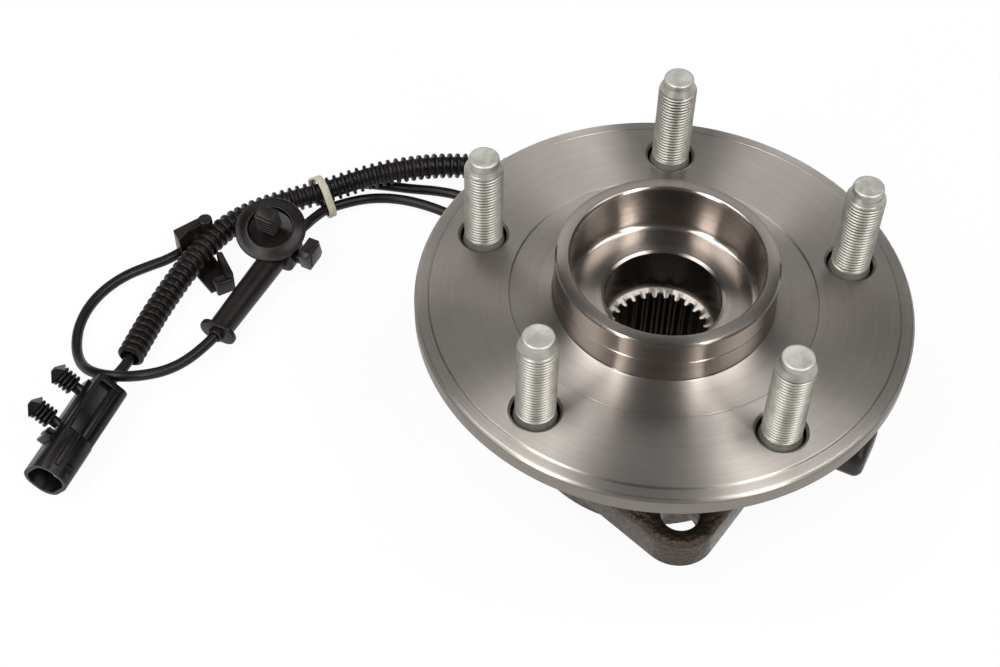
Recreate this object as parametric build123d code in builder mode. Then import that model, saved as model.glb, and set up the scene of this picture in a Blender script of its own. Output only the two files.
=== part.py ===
from build123d import *
import os
from math import acos, atan2, cos, degrees, pi, radians, sin, tan

os.makedirs("parts", exist_ok=True)

# A driven wheel hub bearing unit with its wheel speed sensor and lead.
# Millimetres. The origin is the centre of the wheel mounting face, +Z points outboard along
# the hub axis and the unit stands on the inboard end of its outer ring.

# ---------------------------------------------------------------- wheel flange and pilot
wheel_pcd = 127.0
stud_count = 5
hub_rest_turn = -10.0  # how far the hub stands turned from having a stud at +Y
flange_r = 80.5
flange_thickness = 12.0
rim_thickness = 7.0
rim_width = 5.5
rim_chamfer = 1.0
face_outer_r = 76.0
face_inner_r = 50.0
face_relief = 0.4  # how far the rim and the ring round the pilot sit below the wheel face
wheel_pilot_r = 35.7
wheel_pilot_height = 16.6
pilot_groove_height = 8.3  # a fine turned line round the pilot, between rotor and wheel
pilot_groove_width = 0.6
pilot_groove_depth = 0.3
pilot_chamfer = 1.0
pilot_root_fillet = 1.2
pocket_r = 30.9
pocket_depth = 18.1  # from the pilot's top face to the nut seat
pocket_fillet = 2.5
flange_boss_r = 43.0
flange_boss_height = 1.2

# ---------------------------------------------------------------- axle bore and spline
axle_bore_r = 19.0
axle_bore_depth = 17.0
axle_bore_chamfer = 1.2
spline_teeth = 27
spline_minor_r = 15.4
spline_major_r = 17.0
spline_root_share = 0.36  # share of a tooth pitch that a space takes at the major circle
spline_mouth_share = 0.62  # share of a tooth pitch that a space takes at the minor circle
spline_lead_in = 1.0

# ---------------------------------------------------------------- bearing
ball_r = 5.556
ball_pitch_r = 32.5
balls_per_row = 15
row_spacing = 27.0
bearing_middle_z = -39.5
race_gap = 0.08  # between a ball and each raceway
race_high_shoulder = 3.3
race_low_shoulder = 0.35
cage_thickness = 3.8
cage_pocket_gap = 0.18
cage_rim_width = 1.8
cage_finger_reach = 2.5  # how far the cage fingers reach past the ball centres
journal_r = 21.0
inner_ring_end_z = -65.4
inner_ring_chamfer = 0.8
formed_lip_r = 26.0
formed_lip_height = 2.6
formed_lip_chamfer = 1.2
seal_seat_r = 31.0
seal_depth = 9.5  # from the seal seat out to the seal bore
tone_ring_r = 31.9
tone_ring_width = 8.0
tone_teeth = 40
tone_tooth_depth = 1.6
tone_ring_gap = 0.5  # to the inboard inner ring

# ---------------------------------------------------------------- outer ring
ring_outboard_z = -14.5
ring_inboard_z = -68.2
ring_nose_wall = 7.0
ring_nose_chamfer = 1.0
knuckle_face_z = -49.0
ear_thickness = 12.0
ear_count = 3
ear_first_angle = -90.0
ear_circle_r = 60.0
ear_r = 12.5
ear_hole_r = 6.25
ear_hole_wall = 2.25  # between an ear's hole and the ring's body
ear_hole_chamfer = 1.2
ear_edge_fillet = 2.0
knuckle_pilot_wall = 4.5
knuckle_pilot_chamfer = 1.0

# ---------------------------------------------------------------- seals
seal_wall = 1.0
seal_bore_gap = 0.03
seal_case_height = 4.2
seal_inset = 0.3
seal_web_gap = 3.0  # from the seal seat to the edge of the web
slinger_wall = 0.8
slinger_height = 4.0
slinger_edge_gap = 0.7
slinger_face_gap = 0.5
lip_gap = 0.35
lip_thickness = 0.9
inboard_seal_z = -63.9  # open end of the inboard seal

# ---------------------------------------------------------------- wheel studs
stud_r = 6.35
stud_tip_height = 35.6
stud_dog_r = 4.85
stud_dog_length = 2.8
stud_dog_chamfer = 0.6
stud_tip_cone = 1.6
stud_shoulder_r = 7.05
stud_shoulder_top = -2.8
stud_taper_height = 2.6
stud_plain_top = 1.6
thread_pitch = 1.27
thread_depth = 0.65
thread_crest = 0.35
stud_knurl_r = 7.15
stud_knurl_length = 8.0
stud_head_r = 10.0
stud_head_height = 3.5
stud_hole_relief_r = 7.6
stud_hole_chamfer = 0.85
stud_press_gap = 0.02

# ---------------------------------------------------------------- wheel speed sensor
sensor_angle = -31.0
sensor_z = bearing_middle_z
sensor_air_gap = 1.0
sensor_nose_r = 5.0
sensor_bore_gap = 0.1
sensor_pad_rise = 1.5  # of the flat pad above the ring's body
sensor_pad_height = 14.0
sensor_pad_reach = 11.0
sensor_head_width = 18.5
sensor_head_height = 13.4
sensor_head_length = 24.0
sensor_head_corner = 5.0
sensor_head_fillet = 3.0
sensor_lug_offset = 15.5
sensor_lug_r = 6.2
sensor_lug_thickness = 5.0
sensor_screw_r = 3.0
sensor_screw_gap = 0.05
sensor_screw_grip = 9.0
sensor_screw_head_r = 5.2
sensor_screw_head_height = 4.0
oring_r = 0.78
oring_groove_depth = 1.5
oring_place = 5.0  # from the pad face
relief_start_r = 3.8
relief_end_r = 2.9
relief_length = 10.0
lead_exit_height = 13.0  # above the sensor's pad
lead_exit_run = 8.0  # straight, out of the strain relief

# ---------------------------------------------------------------- lead and conduit
floor_z = ring_inboard_z
lead_r = 1.95
conduit_r = 4.88
corner_share = 0.45

# ---------------------------------------------------------------- sleeve and body clip
sleeve_start = (-127.2, 86.21, -61.07)
sleeve_end = (-152.65, 42.39, -61.07)
sleeve_start_r = 5.2
sleeve_end_r = 4.55
sleeve_flange_width = 14.4
sleeve_flange_height = 9.2
sleeve_flange_thickness = 1.76
sleeve_nipple_r = 2.93
sleeve_nipple_length = 1.95
saddle_length = 8.8
saddle_half_width = 7.6
saddle_height = 11.4
saddle_gap = 0.15
saddle_lead = -1.2  # how far along the sleeve the saddle starts
anchor_offset = 11.91
anchor_thickness = 4.49
anchor_rise = 2.6  # of the anchor above the sleeve
anchor_width = 10.74
anchor_height = 9.8
anchor_neck_r = 2.54
anchor_chamfer = 1.56
disc_centre = (-131.79, 85.28, -50.63)
disc_normal = (-0.036, -0.293, 0.955)
disc_r = 13.27
disc_wall = 1.27
disc_cone_drop = 1.37
disc_well_r = 8.3
disc_well_depth = 2.15
disc_floor = 0.78
disc_stem_r = 2.73
disc_stem_length = 2.93
prong_width = 6.25
prong_depth = 4.29
prong_height = 12.2
prong_barb = 0.68
prong_barb_pitch = 2.34
prong_barbs = 3

# ---------------------------------------------------------------- routing clip
clip_post_outline = [  # plan of the block on the far side of the conduit
    (-168.83, 91.53),
    (-156.83, 98.75),
    (-158.78, 95.63),
    (-162.98, 90.55),
    (-166.3, 86.06),
]
clip_rib_outline = [  # plan of the upright rib on its near side
    (-152.92, 82.36),
    (-150.58, 82.36),
    (-146.09, 71.23),
    (-148.83, 70.84),
]
clip_foot_outline = [
    (-156.05, 70.55),
    (-153.31, 66.64),
    (-145.7, 70.45),
    (-148.04, 74.55),
]
clip_base_outline = [
    (-166.49, 86.75),
    (-159.17, 96.21),
    (-147.46, 73.57),
    (-155.27, 69.67),
]
clip_post_height = 12.69
clip_rib_height = 9.27
clip_foot_height = 6.83
clip_base_thickness = 1.37
clip_lead_gap = 0.3

# ---------------------------------------------------------------- cable tie
tie_centre = (-113.01, 113.2, -61.66)
tie_direction = (-0.9135, -0.4067, 0)
tie_gap = 0.75
tie_thickness = 1.07
tie_width = 3.51
tie_side_offset = 6.64  # lead centres either side of the conduit's centre
tie_lead_drop = 2.83
tie_head_width = 5.47
tie_head_height = 4.49
tie_head_reach = 3.32

# ---------------------------------------------------------------- connector
connector_rear = (-189.4, 20.3, -59.9)
connector_direction = (-0.431, -0.902, 0)
connector_roll = 50.0  # degrees, that its broad face is turned down on the near side
connector_body_length = 24.5
connector_body_width = 12.6
connector_body_height = 15.0
connector_body_corner = 3.0
connector_shroud_length = 17.0
connector_shroud_width = 13.9
connector_shroud_height = 17.0
connector_shroud_corner = 6.0
connector_wall = 1.46
connector_mouth_depth = 12.69
connector_slot_width = 4.8
connector_slot_depth = 2.54
connector_slot_end_gap = 1.95
connector_slot_offset = 2.4
connector_window = 3.0
pin_width = 1.46
pin_thickness = 0.78
pin_length = 9.27
pin_pitch = 4.39
pin_root = 1.0
seal_plug_r = 4.29
seal_plug_length = 3.9
seal_plug_proud = 0.5  # of the connector's rear face
seal_plug_offset = 2.0  # from the connector's axis
tail_straight = 3.4
rail_length = 19.5
rail_height = 4.88
rail_thickness = 1.2
rail_rise = 0.98  # of the rail's middle above the connector's axis
grip_ribs = 2
grip_rib_pitch = 2.54
grip_reach = 2.4
grip_height = 6.5
grip_rise = 0.98
tree_count = 2
tree_spacing = 15.3
tree_first = 6.8
tree_start = 9.4  # from the connector's axis to the middle of the trees' base
tree_root_r = 1.95
tree_length = 9.9
tree_stem_r = 1.66
tree_fin_r = 3.5
tree_fin_thickness = 0.88
tree_fin_taper = 30
tree_fin_pitch = 1.6
tree_fins = 4
tree_tip_length = 2.3
tree_tip_taper = 35

# ---------------------------------------------------------------- derived places
near = 0.01
outboard_row_z = bearing_middle_z + row_spacing / 2
inboard_row_z = bearing_middle_z - row_spacing / 2
groove_r = ball_r + race_gap
seal_bore_r = seal_seat_r + seal_depth
seal_web_inner_r = seal_seat_r + seal_web_gap
ring_nose_r = seal_bore_r + ring_nose_wall
ring_body_r = ear_circle_r - ear_hole_r - ear_hole_wall
knuckle_pilot_r = seal_bore_r + knuckle_pilot_wall
sensor_pad_r = ring_body_r + sensor_pad_rise
inner_ring_start_z = bearing_middle_z - tone_ring_width / 2 - tone_ring_gap
inner_low_r = ball_pitch_r - ball_r + race_low_shoulder
inner_high_r = ball_pitch_r - ball_r + race_high_shoulder
outer_low_r = ball_pitch_r + ball_r - race_low_shoulder
outer_high_r = ball_pitch_r + ball_r - race_high_shoulder
stud_circle_r = wheel_pcd / 2
stud_first_angle = 90.0 + hub_rest_turn
nut_seat_z = wheel_pilot_height - pocket_depth
stud_thread_top = stud_tip_height - stud_dog_length - stud_tip_cone
thread_count = int((stud_thread_top - stud_plain_top) / thread_pitch)
spline_start_z = nut_seat_z - axle_bore_depth
hub_end_z = inner_ring_end_z - formed_lip_height
inboard_shoulder_z = inboard_row_z - ball_r - 2 * race_low_shoulder
ear_top_z = knuckle_face_z + ear_thickness
sensor_nose_tip = tone_ring_r + sensor_air_gap
sensor_dir = Vector(cos(radians(sensor_angle)), sin(radians(sensor_angle)), 0)
sensor_side = Vector(-sensor_dir.Y, sensor_dir.X, 0)


def ring_edges(builder, radius, height):
    """The circular edges of a turned piece at one radius and one height."""
    circles = builder.edges().filter_by(GeomType.CIRCLE)
    return circles.filter_by(
        lambda edge: abs(edge.radius - radius) < near and abs(edge.center().Z - height) < near
    )


def sensor_plane(distance):
    """A plane across the sensor's axis, at a distance from the hub axis."""
    origin = sensor_dir * distance + Vector(0, 0, sensor_z)
    return Plane(origin=origin, x_dir=sensor_side, z_dir=sensor_dir)


def save(piece, name):
    """Label a finished piece and write its STEP file."""
    piece.part.label = name
    export_step(piece.part, f"parts/{name}.step")


# ================================================================ hub side
# The hub is one forging: wheel flange, pilot, outboard raceway, journal and formed end.
with BuildPart() as wheel_hub:
    with BuildSketch(Plane.XZ):
        with BuildLine():
            Polyline(
                (spline_minor_r, hub_end_z),
                (spline_minor_r, spline_start_z - spline_lead_in),
                (spline_major_r, spline_start_z),
                (axle_bore_r, spline_start_z),
                (axle_bore_r, nut_seat_z - axle_bore_chamfer),
                (axle_bore_r + axle_bore_chamfer, nut_seat_z),
                (pocket_r, nut_seat_z),
                (pocket_r, wheel_pilot_height - pilot_chamfer),
                (pocket_r + pilot_chamfer, wheel_pilot_height),
                (wheel_pilot_r - pilot_chamfer, wheel_pilot_height),
                (wheel_pilot_r, wheel_pilot_height - pilot_chamfer),
                (wheel_pilot_r, pilot_groove_height + pilot_groove_width / 2),
                (wheel_pilot_r - pilot_groove_depth, pilot_groove_height),
                (wheel_pilot_r, pilot_groove_height - pilot_groove_width / 2),
                (wheel_pilot_r, -face_relief),
                (face_inner_r, -face_relief),
                (face_inner_r, 0),
                (face_outer_r, 0),
                (face_outer_r, -face_relief),
                (flange_r - rim_chamfer, -face_relief),
                (flange_r, -face_relief - rim_chamfer),
                (flange_r, -rim_thickness),
                (flange_r - rim_width, -rim_thickness),
                (flange_r - rim_width, -flange_thickness),
                (flange_boss_r, -flange_thickness),
                (flange_boss_r - flange_boss_height, -flange_thickness - flange_boss_height),
                (seal_seat_r, -flange_thickness - flange_boss_height),
                (seal_seat_r, outboard_row_z + ball_r),
                (inner_high_r, outboard_row_z + ball_r - race_low_shoulder),
                (inner_high_r, outboard_row_z),
                (inner_low_r, outboard_row_z),
                (inner_low_r, inner_ring_start_z),
                (journal_r, inner_ring_start_z),
                (journal_r, inner_ring_end_z),
                (formed_lip_r, inner_ring_end_z),
                (formed_lip_r, hub_end_z + formed_lip_chamfer),
                (formed_lip_r - formed_lip_chamfer, hub_end_z),
                close=True,
            )
        make_face()
    revolve(axis=Axis.Z)
    with Locations((0, 0, outboard_row_z)):
        Torus(ball_pitch_r, groove_r, mode=Mode.SUBTRACT)
    fillet(ring_edges(wheel_hub, pocket_r, nut_seat_z), pocket_fillet)
    fillet(ring_edges(wheel_hub, wheel_pilot_r, -face_relief), pilot_root_fillet)
    with BuildSketch(Plane.XY.offset(spline_start_z)):
        pitch_at_root = 2 * pi * spline_major_r / spline_teeth
        pitch_at_mouth = 2 * pi * spline_minor_r / spline_teeth
        root_half = pitch_at_root * spline_root_share / 2
        mouth_half = pitch_at_mouth * spline_mouth_share / 2
        inside_r = spline_minor_r - spline_lead_in
        with PolarLocations(0, spline_teeth):
            Polygon(
                (inside_r, -mouth_half),
                (spline_minor_r, -mouth_half),
                (spline_major_r, -root_half),
                (spline_major_r, root_half),
                (spline_minor_r, mouth_half),
                (inside_r, mouth_half),
                align=None,
            )
    extrude(amount=hub_end_z - spline_start_z, mode=Mode.SUBTRACT)
    with BuildSketch(Plane.XY.offset(-flange_thickness)):
        with PolarLocations(stud_circle_r, stud_count, start_angle=stud_first_angle):
            Circle(stud_knurl_r + stud_press_gap)
    extrude(amount=flange_thickness, mode=Mode.SUBTRACT)
    with BuildSketch(Plane.XY.offset(-flange_thickness + stud_knurl_length)):
        with PolarLocations(stud_circle_r, stud_count, start_angle=stud_first_angle):
            Circle(stud_hole_relief_r)
    extrude(amount=flange_thickness - stud_knurl_length, mode=Mode.SUBTRACT)
    stud_mouths = wheel_hub.edges().filter_by(GeomType.CIRCLE).filter_by(
        lambda edge: abs(edge.radius - stud_hole_relief_r) < near and abs(edge.center().Z) < near
    )
    chamfer(stud_mouths, stud_hole_chamfer)
save(wheel_hub, "wheel_hub")

# The separate inboard inner ring, held on the journal by the hub's formed end.
with BuildPart() as inner_ring:
    with BuildSketch(Plane.XZ):
        with BuildLine():
            Polyline(
                (journal_r, inner_ring_start_z - inner_ring_chamfer),
                (journal_r + inner_ring_chamfer, inner_ring_start_z),
                (inner_low_r, inner_ring_start_z),
                (inner_low_r, inboard_row_z),
                (inner_high_r, inboard_row_z),
                (inner_high_r, inboard_shoulder_z),
                (seal_seat_r, inboard_shoulder_z - race_low_shoulder),
                (seal_seat_r, inner_ring_end_z + inner_ring_chamfer),
                (seal_seat_r - inner_ring_chamfer, inner_ring_end_z),
                (journal_r, inner_ring_end_z),
                close=True,
            )
        make_face()
    revolve(axis=Axis.Z)
    with Locations((0, 0, inboard_row_z)):
        Torus(ball_pitch_r, groove_r, mode=Mode.SUBTRACT)
save(inner_ring, "inner_ring")

# Five studs pressed in from the back of the flange. Each thread is drawn as a row of grooves.
thread_grooves = []
for turn in range(thread_count):
    groove_z = stud_plain_top + turn * thread_pitch
    thread_grooves += [
        (stud_r, groove_z),
        (stud_r - thread_depth, groove_z + (thread_pitch - thread_crest) / 2),
        (stud_r, groove_z + thread_pitch - thread_crest),
    ]
with BuildPart() as wheel_studs:
    with BuildSketch(Plane.XZ) as stud_section:
        with BuildLine():
            Polyline(
                (0, -flange_thickness - stud_head_height),
                (stud_head_r - stud_tip_cone, -flange_thickness - stud_head_height),
                (stud_head_r, -flange_thickness - stud_head_height + stud_tip_cone),
                (stud_head_r, -flange_thickness),
                (stud_knurl_r, -flange_thickness),
                (stud_knurl_r, -flange_thickness + stud_knurl_length),
                (stud_shoulder_r, -flange_thickness + stud_knurl_length),
                (stud_shoulder_r, stud_shoulder_top),
                (stud_r, stud_shoulder_top + stud_taper_height),
                *thread_grooves,
                (stud_r, stud_thread_top),
                (stud_dog_r, stud_tip_height - stud_dog_length),
                (stud_dog_r, stud_tip_height - stud_dog_chamfer),
                (stud_dog_r - stud_dog_chamfer, stud_tip_height),
                (0, stud_tip_height),
                close=True,
            )
        make_face()
    stud = revolve(axis=Axis.Z, mode=Mode.PRIVATE)
    with PolarLocations(stud_circle_r, stud_count, start_angle=stud_first_angle):
        add(stud)
save(wheel_studs, "wheel_studs")

# The toothed ring that the speed sensor reads, pressed on between the two ball rows.
with BuildPart() as tone_ring:
    with BuildSketch(Plane.XY.offset(bearing_middle_z - tone_ring_width / 2)):
        Circle(tone_ring_r)
        Circle(inner_low_r, mode=Mode.SUBTRACT)
        tooth_space = pi * tone_ring_r / tone_teeth
        with PolarLocations(tone_ring_r, tone_teeth):
            Rectangle(2 * tone_tooth_depth, tooth_space, mode=Mode.SUBTRACT)
    extrude(amount=tone_ring_width)
save(tone_ring, "tone_ring")


def ball_row(row_z):
    """One row of balls, all at the pitch radius."""
    with BuildPart() as row:
        with Locations((0, 0, row_z)):
            with PolarLocations(ball_pitch_r, balls_per_row):
                Sphere(ball_r)
    return row


def ball_cage(row_z, side):
    """A snap cage: a rim on the side of the bearing's middle and fingers between the balls."""
    pocket_r_cage = ball_r + cage_pocket_gap
    rim_z = row_z + side * (pocket_r_cage + cage_rim_width)
    finger_z = row_z - side * cage_finger_reach
    low_z = min(rim_z, finger_z)
    with BuildPart() as cage:
        with BuildSketch(Plane.XY.offset(low_z)):
            Circle(ball_pitch_r + cage_thickness / 2)
            Circle(ball_pitch_r - cage_thickness / 2, mode=Mode.SUBTRACT)
        extrude(amount=abs(rim_z - finger_z))
        with Locations((0, 0, row_z)):
            with PolarLocations(ball_pitch_r, balls_per_row):
                Sphere(pocket_r_cage, mode=Mode.SUBTRACT)
    return cage


outboard_balls = ball_row(outboard_row_z)
save(outboard_balls, "outboard_balls")
inboard_balls = ball_row(inboard_row_z)
save(inboard_balls, "inboard_balls")
outboard_cage = ball_cage(outboard_row_z, -1)
save(outboard_cage, "outboard_cage")
inboard_cage = ball_cage(inboard_row_z, 1)
save(inboard_cage, "inboard_cage")

# ================================================================ knuckle side
# The outer ring is a forging with three ears, both outer raceways and the sensor's bore.
with BuildPart() as outer_ring:
    tangent_angle = degrees(acos((ring_body_r - ear_r) / ear_circle_r))
    flank = Vector(cos(radians(tangent_angle)), sin(radians(tangent_angle)))
    with BuildSketch(Plane.XY.offset(knuckle_face_z)):
        with PolarLocations(0, ear_count, start_angle=ear_first_angle):
            Polygon(
                (flank.X * ring_body_r, -flank.Y * ring_body_r),
                (ear_circle_r + flank.X * ear_r, -flank.Y * ear_r),
                (ear_circle_r + flank.X * ear_r, flank.Y * ear_r),
                (flank.X * ring_body_r, flank.Y * ring_body_r),
                align=None,
            )
        with PolarLocations(ear_circle_r, ear_count, start_angle=ear_first_angle):
            Circle(ear_r)
        Circle(ring_body_r)
        Circle(outer_low_r + ball_r / 2, mode=Mode.SUBTRACT)
    extrude(amount=ear_thickness)
    fillet(outer_ring.faces().sort_by(Axis.Z)[-1].outer_wire().edges(), ear_edge_fillet)
    with BuildSketch(Plane.XZ):
        with BuildLine():
            Polyline(
                (seal_bore_r, ring_outboard_z),
                (ring_nose_r, ring_outboard_z),
                (ring_nose_r + ring_nose_chamfer, ring_outboard_z - ring_nose_chamfer),
                (ring_body_r, ear_top_z),
                (ring_body_r, knuckle_face_z),
                (knuckle_pilot_r, knuckle_face_z),
                (knuckle_pilot_r, ring_inboard_z + knuckle_pilot_chamfer),
                (knuckle_pilot_r - knuckle_pilot_chamfer, ring_inboard_z),
                (seal_bore_r + knuckle_pilot_chamfer, ring_inboard_z),
                (seal_bore_r, ring_inboard_z + knuckle_pilot_chamfer),
                (seal_bore_r, inboard_shoulder_z),
                (outer_low_r, inboard_shoulder_z),
                (outer_low_r, inboard_row_z),
                (outer_high_r, inboard_row_z),
                (outer_high_r, outboard_row_z),
                (outer_low_r, outboard_row_z),
                (outer_low_r, outboard_row_z + ball_r),
                (seal_bore_r, outboard_row_z + ball_r),
                close=True,
            )
        make_face()
    revolve(axis=Axis.Z)
    with BuildSketch(Plane.XY.offset(knuckle_face_z)):
        with PolarLocations(ear_circle_r, ear_count, start_angle=ear_first_angle):
            Circle(ear_hole_r)
    extrude(amount=ear_thickness, mode=Mode.SUBTRACT)
    ear_mouths = outer_ring.edges().filter_by(GeomType.CIRCLE).filter_by(
        lambda edge: abs(edge.radius - ear_hole_r) < near
    )
    chamfer(ear_mouths, ear_hole_chamfer)
    with BuildSketch(sensor_plane(knuckle_pilot_r)):
        pad_width = sensor_lug_offset + sensor_lug_r + sensor_pad_reach
        pad_middle = (sensor_pad_reach - sensor_lug_offset - sensor_lug_r) / 2
        with Locations((pad_middle, 0)):
            Rectangle(pad_width, sensor_pad_height)
    extrude(amount=sensor_pad_r - knuckle_pilot_r)
    with BuildSketch(sensor_plane(sensor_pad_r)):
        Circle(sensor_nose_r + sensor_bore_gap)
    extrude(amount=sensor_nose_tip - sensor_pad_r, mode=Mode.SUBTRACT)
    with BuildSketch(sensor_plane(sensor_pad_r)):
        with Locations((-sensor_lug_offset, 0)):
            Circle(sensor_screw_r + sensor_screw_gap)
    extrude(amount=-sensor_screw_grip, mode=Mode.SUBTRACT)
    for row_z in (outboard_row_z, inboard_row_z):
        with Locations((0, 0, row_z)):
            Torus(ball_pitch_r, groove_r, mode=Mode.SUBTRACT)
save(outer_ring, "outer_ring")


def seal_case(open_z, side):
    """A pressed steel case in the outer ring's bore; side is +1 where it opens outboard."""
    back_z = open_z - side * seal_case_height
    case_r = seal_bore_r - seal_bore_gap
    with BuildPart() as case:
        with BuildSketch(Plane.XZ):
            with BuildLine():
                Polyline(
                    (case_r, open_z),
                    (case_r, back_z),
                    (seal_web_inner_r, back_z),
                    (seal_web_inner_r, back_z + side * seal_wall),
                    (case_r - seal_wall, back_z + side * seal_wall),
                    (case_r - seal_wall, open_z),
                    close=True,
                )
            make_face()
        revolve(axis=Axis.Z)
    return case


def seal_slinger(open_z, side):
    """A pressed steel ring on the seal seat, whose flange shields the lips."""
    flange_edge_r = seal_bore_r - seal_wall - slinger_edge_gap
    back_z = open_z - side * (slinger_height - seal_wall)
    inner_face_z = open_z - side * slinger_wall
    with BuildPart() as slinger:
        with BuildSketch(Plane.XZ):
            with BuildLine():
                Polyline(
                    (seal_seat_r, open_z),
                    (flange_edge_r, open_z),
                    (flange_edge_r, inner_face_z),
                    (seal_seat_r + slinger_wall, inner_face_z),
                    (seal_seat_r + slinger_wall, back_z),
                    (seal_seat_r, back_z),
                    close=True,
                )
            make_face()
        revolve(axis=Axis.Z)
    return slinger


def seal_lip(open_z, side):
    """The rubber moulded on the case web: one lip reaches the flange, one the sleeve."""
    web_z = open_z - side * (seal_case_height - seal_wall)
    root_z = web_z + side * lip_thickness
    flange_z = open_z - side * (slinger_wall + lip_gap)
    sleeve_r = seal_seat_r + slinger_wall + lip_gap
    outer_r = seal_bore_r - seal_wall - slinger_edge_gap
    lip_root_r = (sleeve_r + outer_r) / 2
    with BuildPart() as lip:
        with BuildSketch(Plane.XZ):
            with BuildLine():
                Polyline(
                    (seal_web_inner_r, web_z),
                    (outer_r, web_z),
                    (outer_r, root_z),
                    (lip_root_r + 2 * lip_thickness, root_z),
                    (outer_r - lip_thickness, flange_z),
                    (outer_r - 2 * lip_thickness, flange_z),
                    (lip_root_r, root_z),
                    (sleeve_r, root_z + side * lip_thickness),
                    (sleeve_r, root_z),
                    close=True,
                )
            make_face()
        revolve(axis=Axis.Z)
    return lip


outboard_seal_z = ring_outboard_z - seal_inset
outboard_slinger_z = outboard_seal_z + slinger_face_gap
inboard_slinger_z = inboard_seal_z - slinger_face_gap
outboard_seal_case = seal_case(outboard_seal_z, 1)
save(outboard_seal_case, "outboard_seal_case")
outboard_seal_lip = seal_lip(outboard_seal_z, 1)
save(outboard_seal_lip, "outboard_seal_lip")
outboard_slinger = seal_slinger(outboard_slinger_z, 1)
save(outboard_slinger, "outboard_slinger")
inboard_seal_case = seal_case(inboard_seal_z, -1)
save(inboard_seal_case, "inboard_seal_case")
inboard_seal_lip = seal_lip(inboard_seal_z, -1)
save(inboard_seal_lip, "inboard_seal_lip")
inboard_slinger = seal_slinger(inboard_slinger_z, -1)
save(inboard_slinger, "inboard_slinger")

# ================================================================ wheel speed sensor
with BuildPart() as sensor_body:
    with BuildSketch(sensor_plane(sensor_nose_tip)):
        Circle(sensor_nose_r)
    extrude(amount=sensor_pad_r - sensor_nose_tip)
    with BuildSketch(sensor_plane(sensor_pad_r)):
        RectangleRounded(sensor_head_width, sensor_head_height, sensor_head_corner)
    extrude(amount=sensor_head_length)
    head_end = sensor_body.faces().sort_by(Axis((0, 0, 0), tuple(sensor_dir)))[-1]
    fillet(head_end.edges(), sensor_head_fillet)
    with BuildSketch(sensor_plane(sensor_pad_r)):
        with Locations((-sensor_lug_offset, 0)):
            Circle(sensor_lug_r)
        with Locations((-sensor_lug_offset / 2, 0)):
            Rectangle(sensor_lug_offset, 2 * sensor_lug_r)
        with Locations((-sensor_lug_offset, 0)):
            Circle(sensor_screw_r + sensor_bore_gap, mode=Mode.SUBTRACT)
    extrude(amount=sensor_lug_thickness)
    with BuildSketch(sensor_plane(sensor_pad_r - oring_place)):
        Circle(sensor_nose_r)
        Circle(sensor_nose_r - oring_groove_depth, mode=Mode.SUBTRACT)
    extrude(amount=-2 * oring_r - sensor_bore_gap, mode=Mode.SUBTRACT)
    lead_exit_plane = sensor_plane(sensor_pad_r + lead_exit_height)
    relief_start = lead_exit_plane.origin + sensor_side * (sensor_head_width / 2)
    relief_end = relief_start + sensor_side * relief_length
    with BuildSketch(Plane(origin=relief_start, x_dir=(0, 0, 1), z_dir=sensor_side)):
        Circle(relief_start_r)
    with BuildSketch(Plane(origin=relief_end, x_dir=(0, 0, 1), z_dir=sensor_side)):
        Circle(relief_end_r)
    loft()
save(sensor_body, "sensor_body")

with BuildPart() as sensor_oring:
    oring_middle = sensor_pad_r - oring_place - oring_r - sensor_bore_gap / 2
    with Locations(sensor_plane(oring_middle)):
        Torus(sensor_nose_r - oring_groove_depth + oring_r, oring_r)
save(sensor_oring, "sensor_oring")

with BuildPart() as sensor_screw:
    screw_head_plane = sensor_plane(sensor_pad_r + sensor_lug_thickness)
    with BuildSketch(screw_head_plane):
        with Locations((-sensor_lug_offset, 0)):
            Circle(sensor_screw_r)
    extrude(amount=-sensor_lug_thickness - sensor_screw_grip + pilot_chamfer)
    with BuildSketch(screw_head_plane):
        with Locations((-sensor_lug_offset, 0)):
            RegularPolygon(sensor_screw_head_r, 6)
    extrude(amount=sensor_screw_head_height)
save(sensor_screw, "sensor_screw")

# ================================================================ lead, sleeve and conduit
# One lead runs from the sensor to the connector: round the back of the hub, out through a
# sleeve, round a loop, back beside the conduit to a turn behind the hub, and out again
# inside the conduit. Each stretch outside the sleeve and the conduit is a tube of its own.
sensor_lead_route = [
    tuple(relief_end),
    tuple(relief_end + sensor_side * lead_exit_run),
    (75.2, 2.5, -43.0),
    (77.2, 14.5, -48.5),
    (74.4, 26.5, -55.0),
    (67.2, 37.0, -61.5),
    (56.0, 45.6, -66.25),
    (41.79, 53.06, -66.25),
    (24.31, 58.44, -66.25),
    (5.77, 60.4, -66.25),
    (-11.8, 62.84, -66.25),
    (-27.41, 69.18, -66.25),
    (-40.59, 78.94, -66.25),
    (-51.33, 90.65, -66.25),
    (-61.57, 100.9, -66.25),
    (-73.29, 108.22, -66.25),
    (-84.51, 112.32, -66.25),
    (-94.76, 112.9, -66.05),
    (-103.15, 110.46, -65.27),
    (-111.64, 106.46, -64.3),
    (-116.23, 100.8, -62.93),
    (-119.6, 95.16, -61.08),
    sleeve_start,
]
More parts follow.
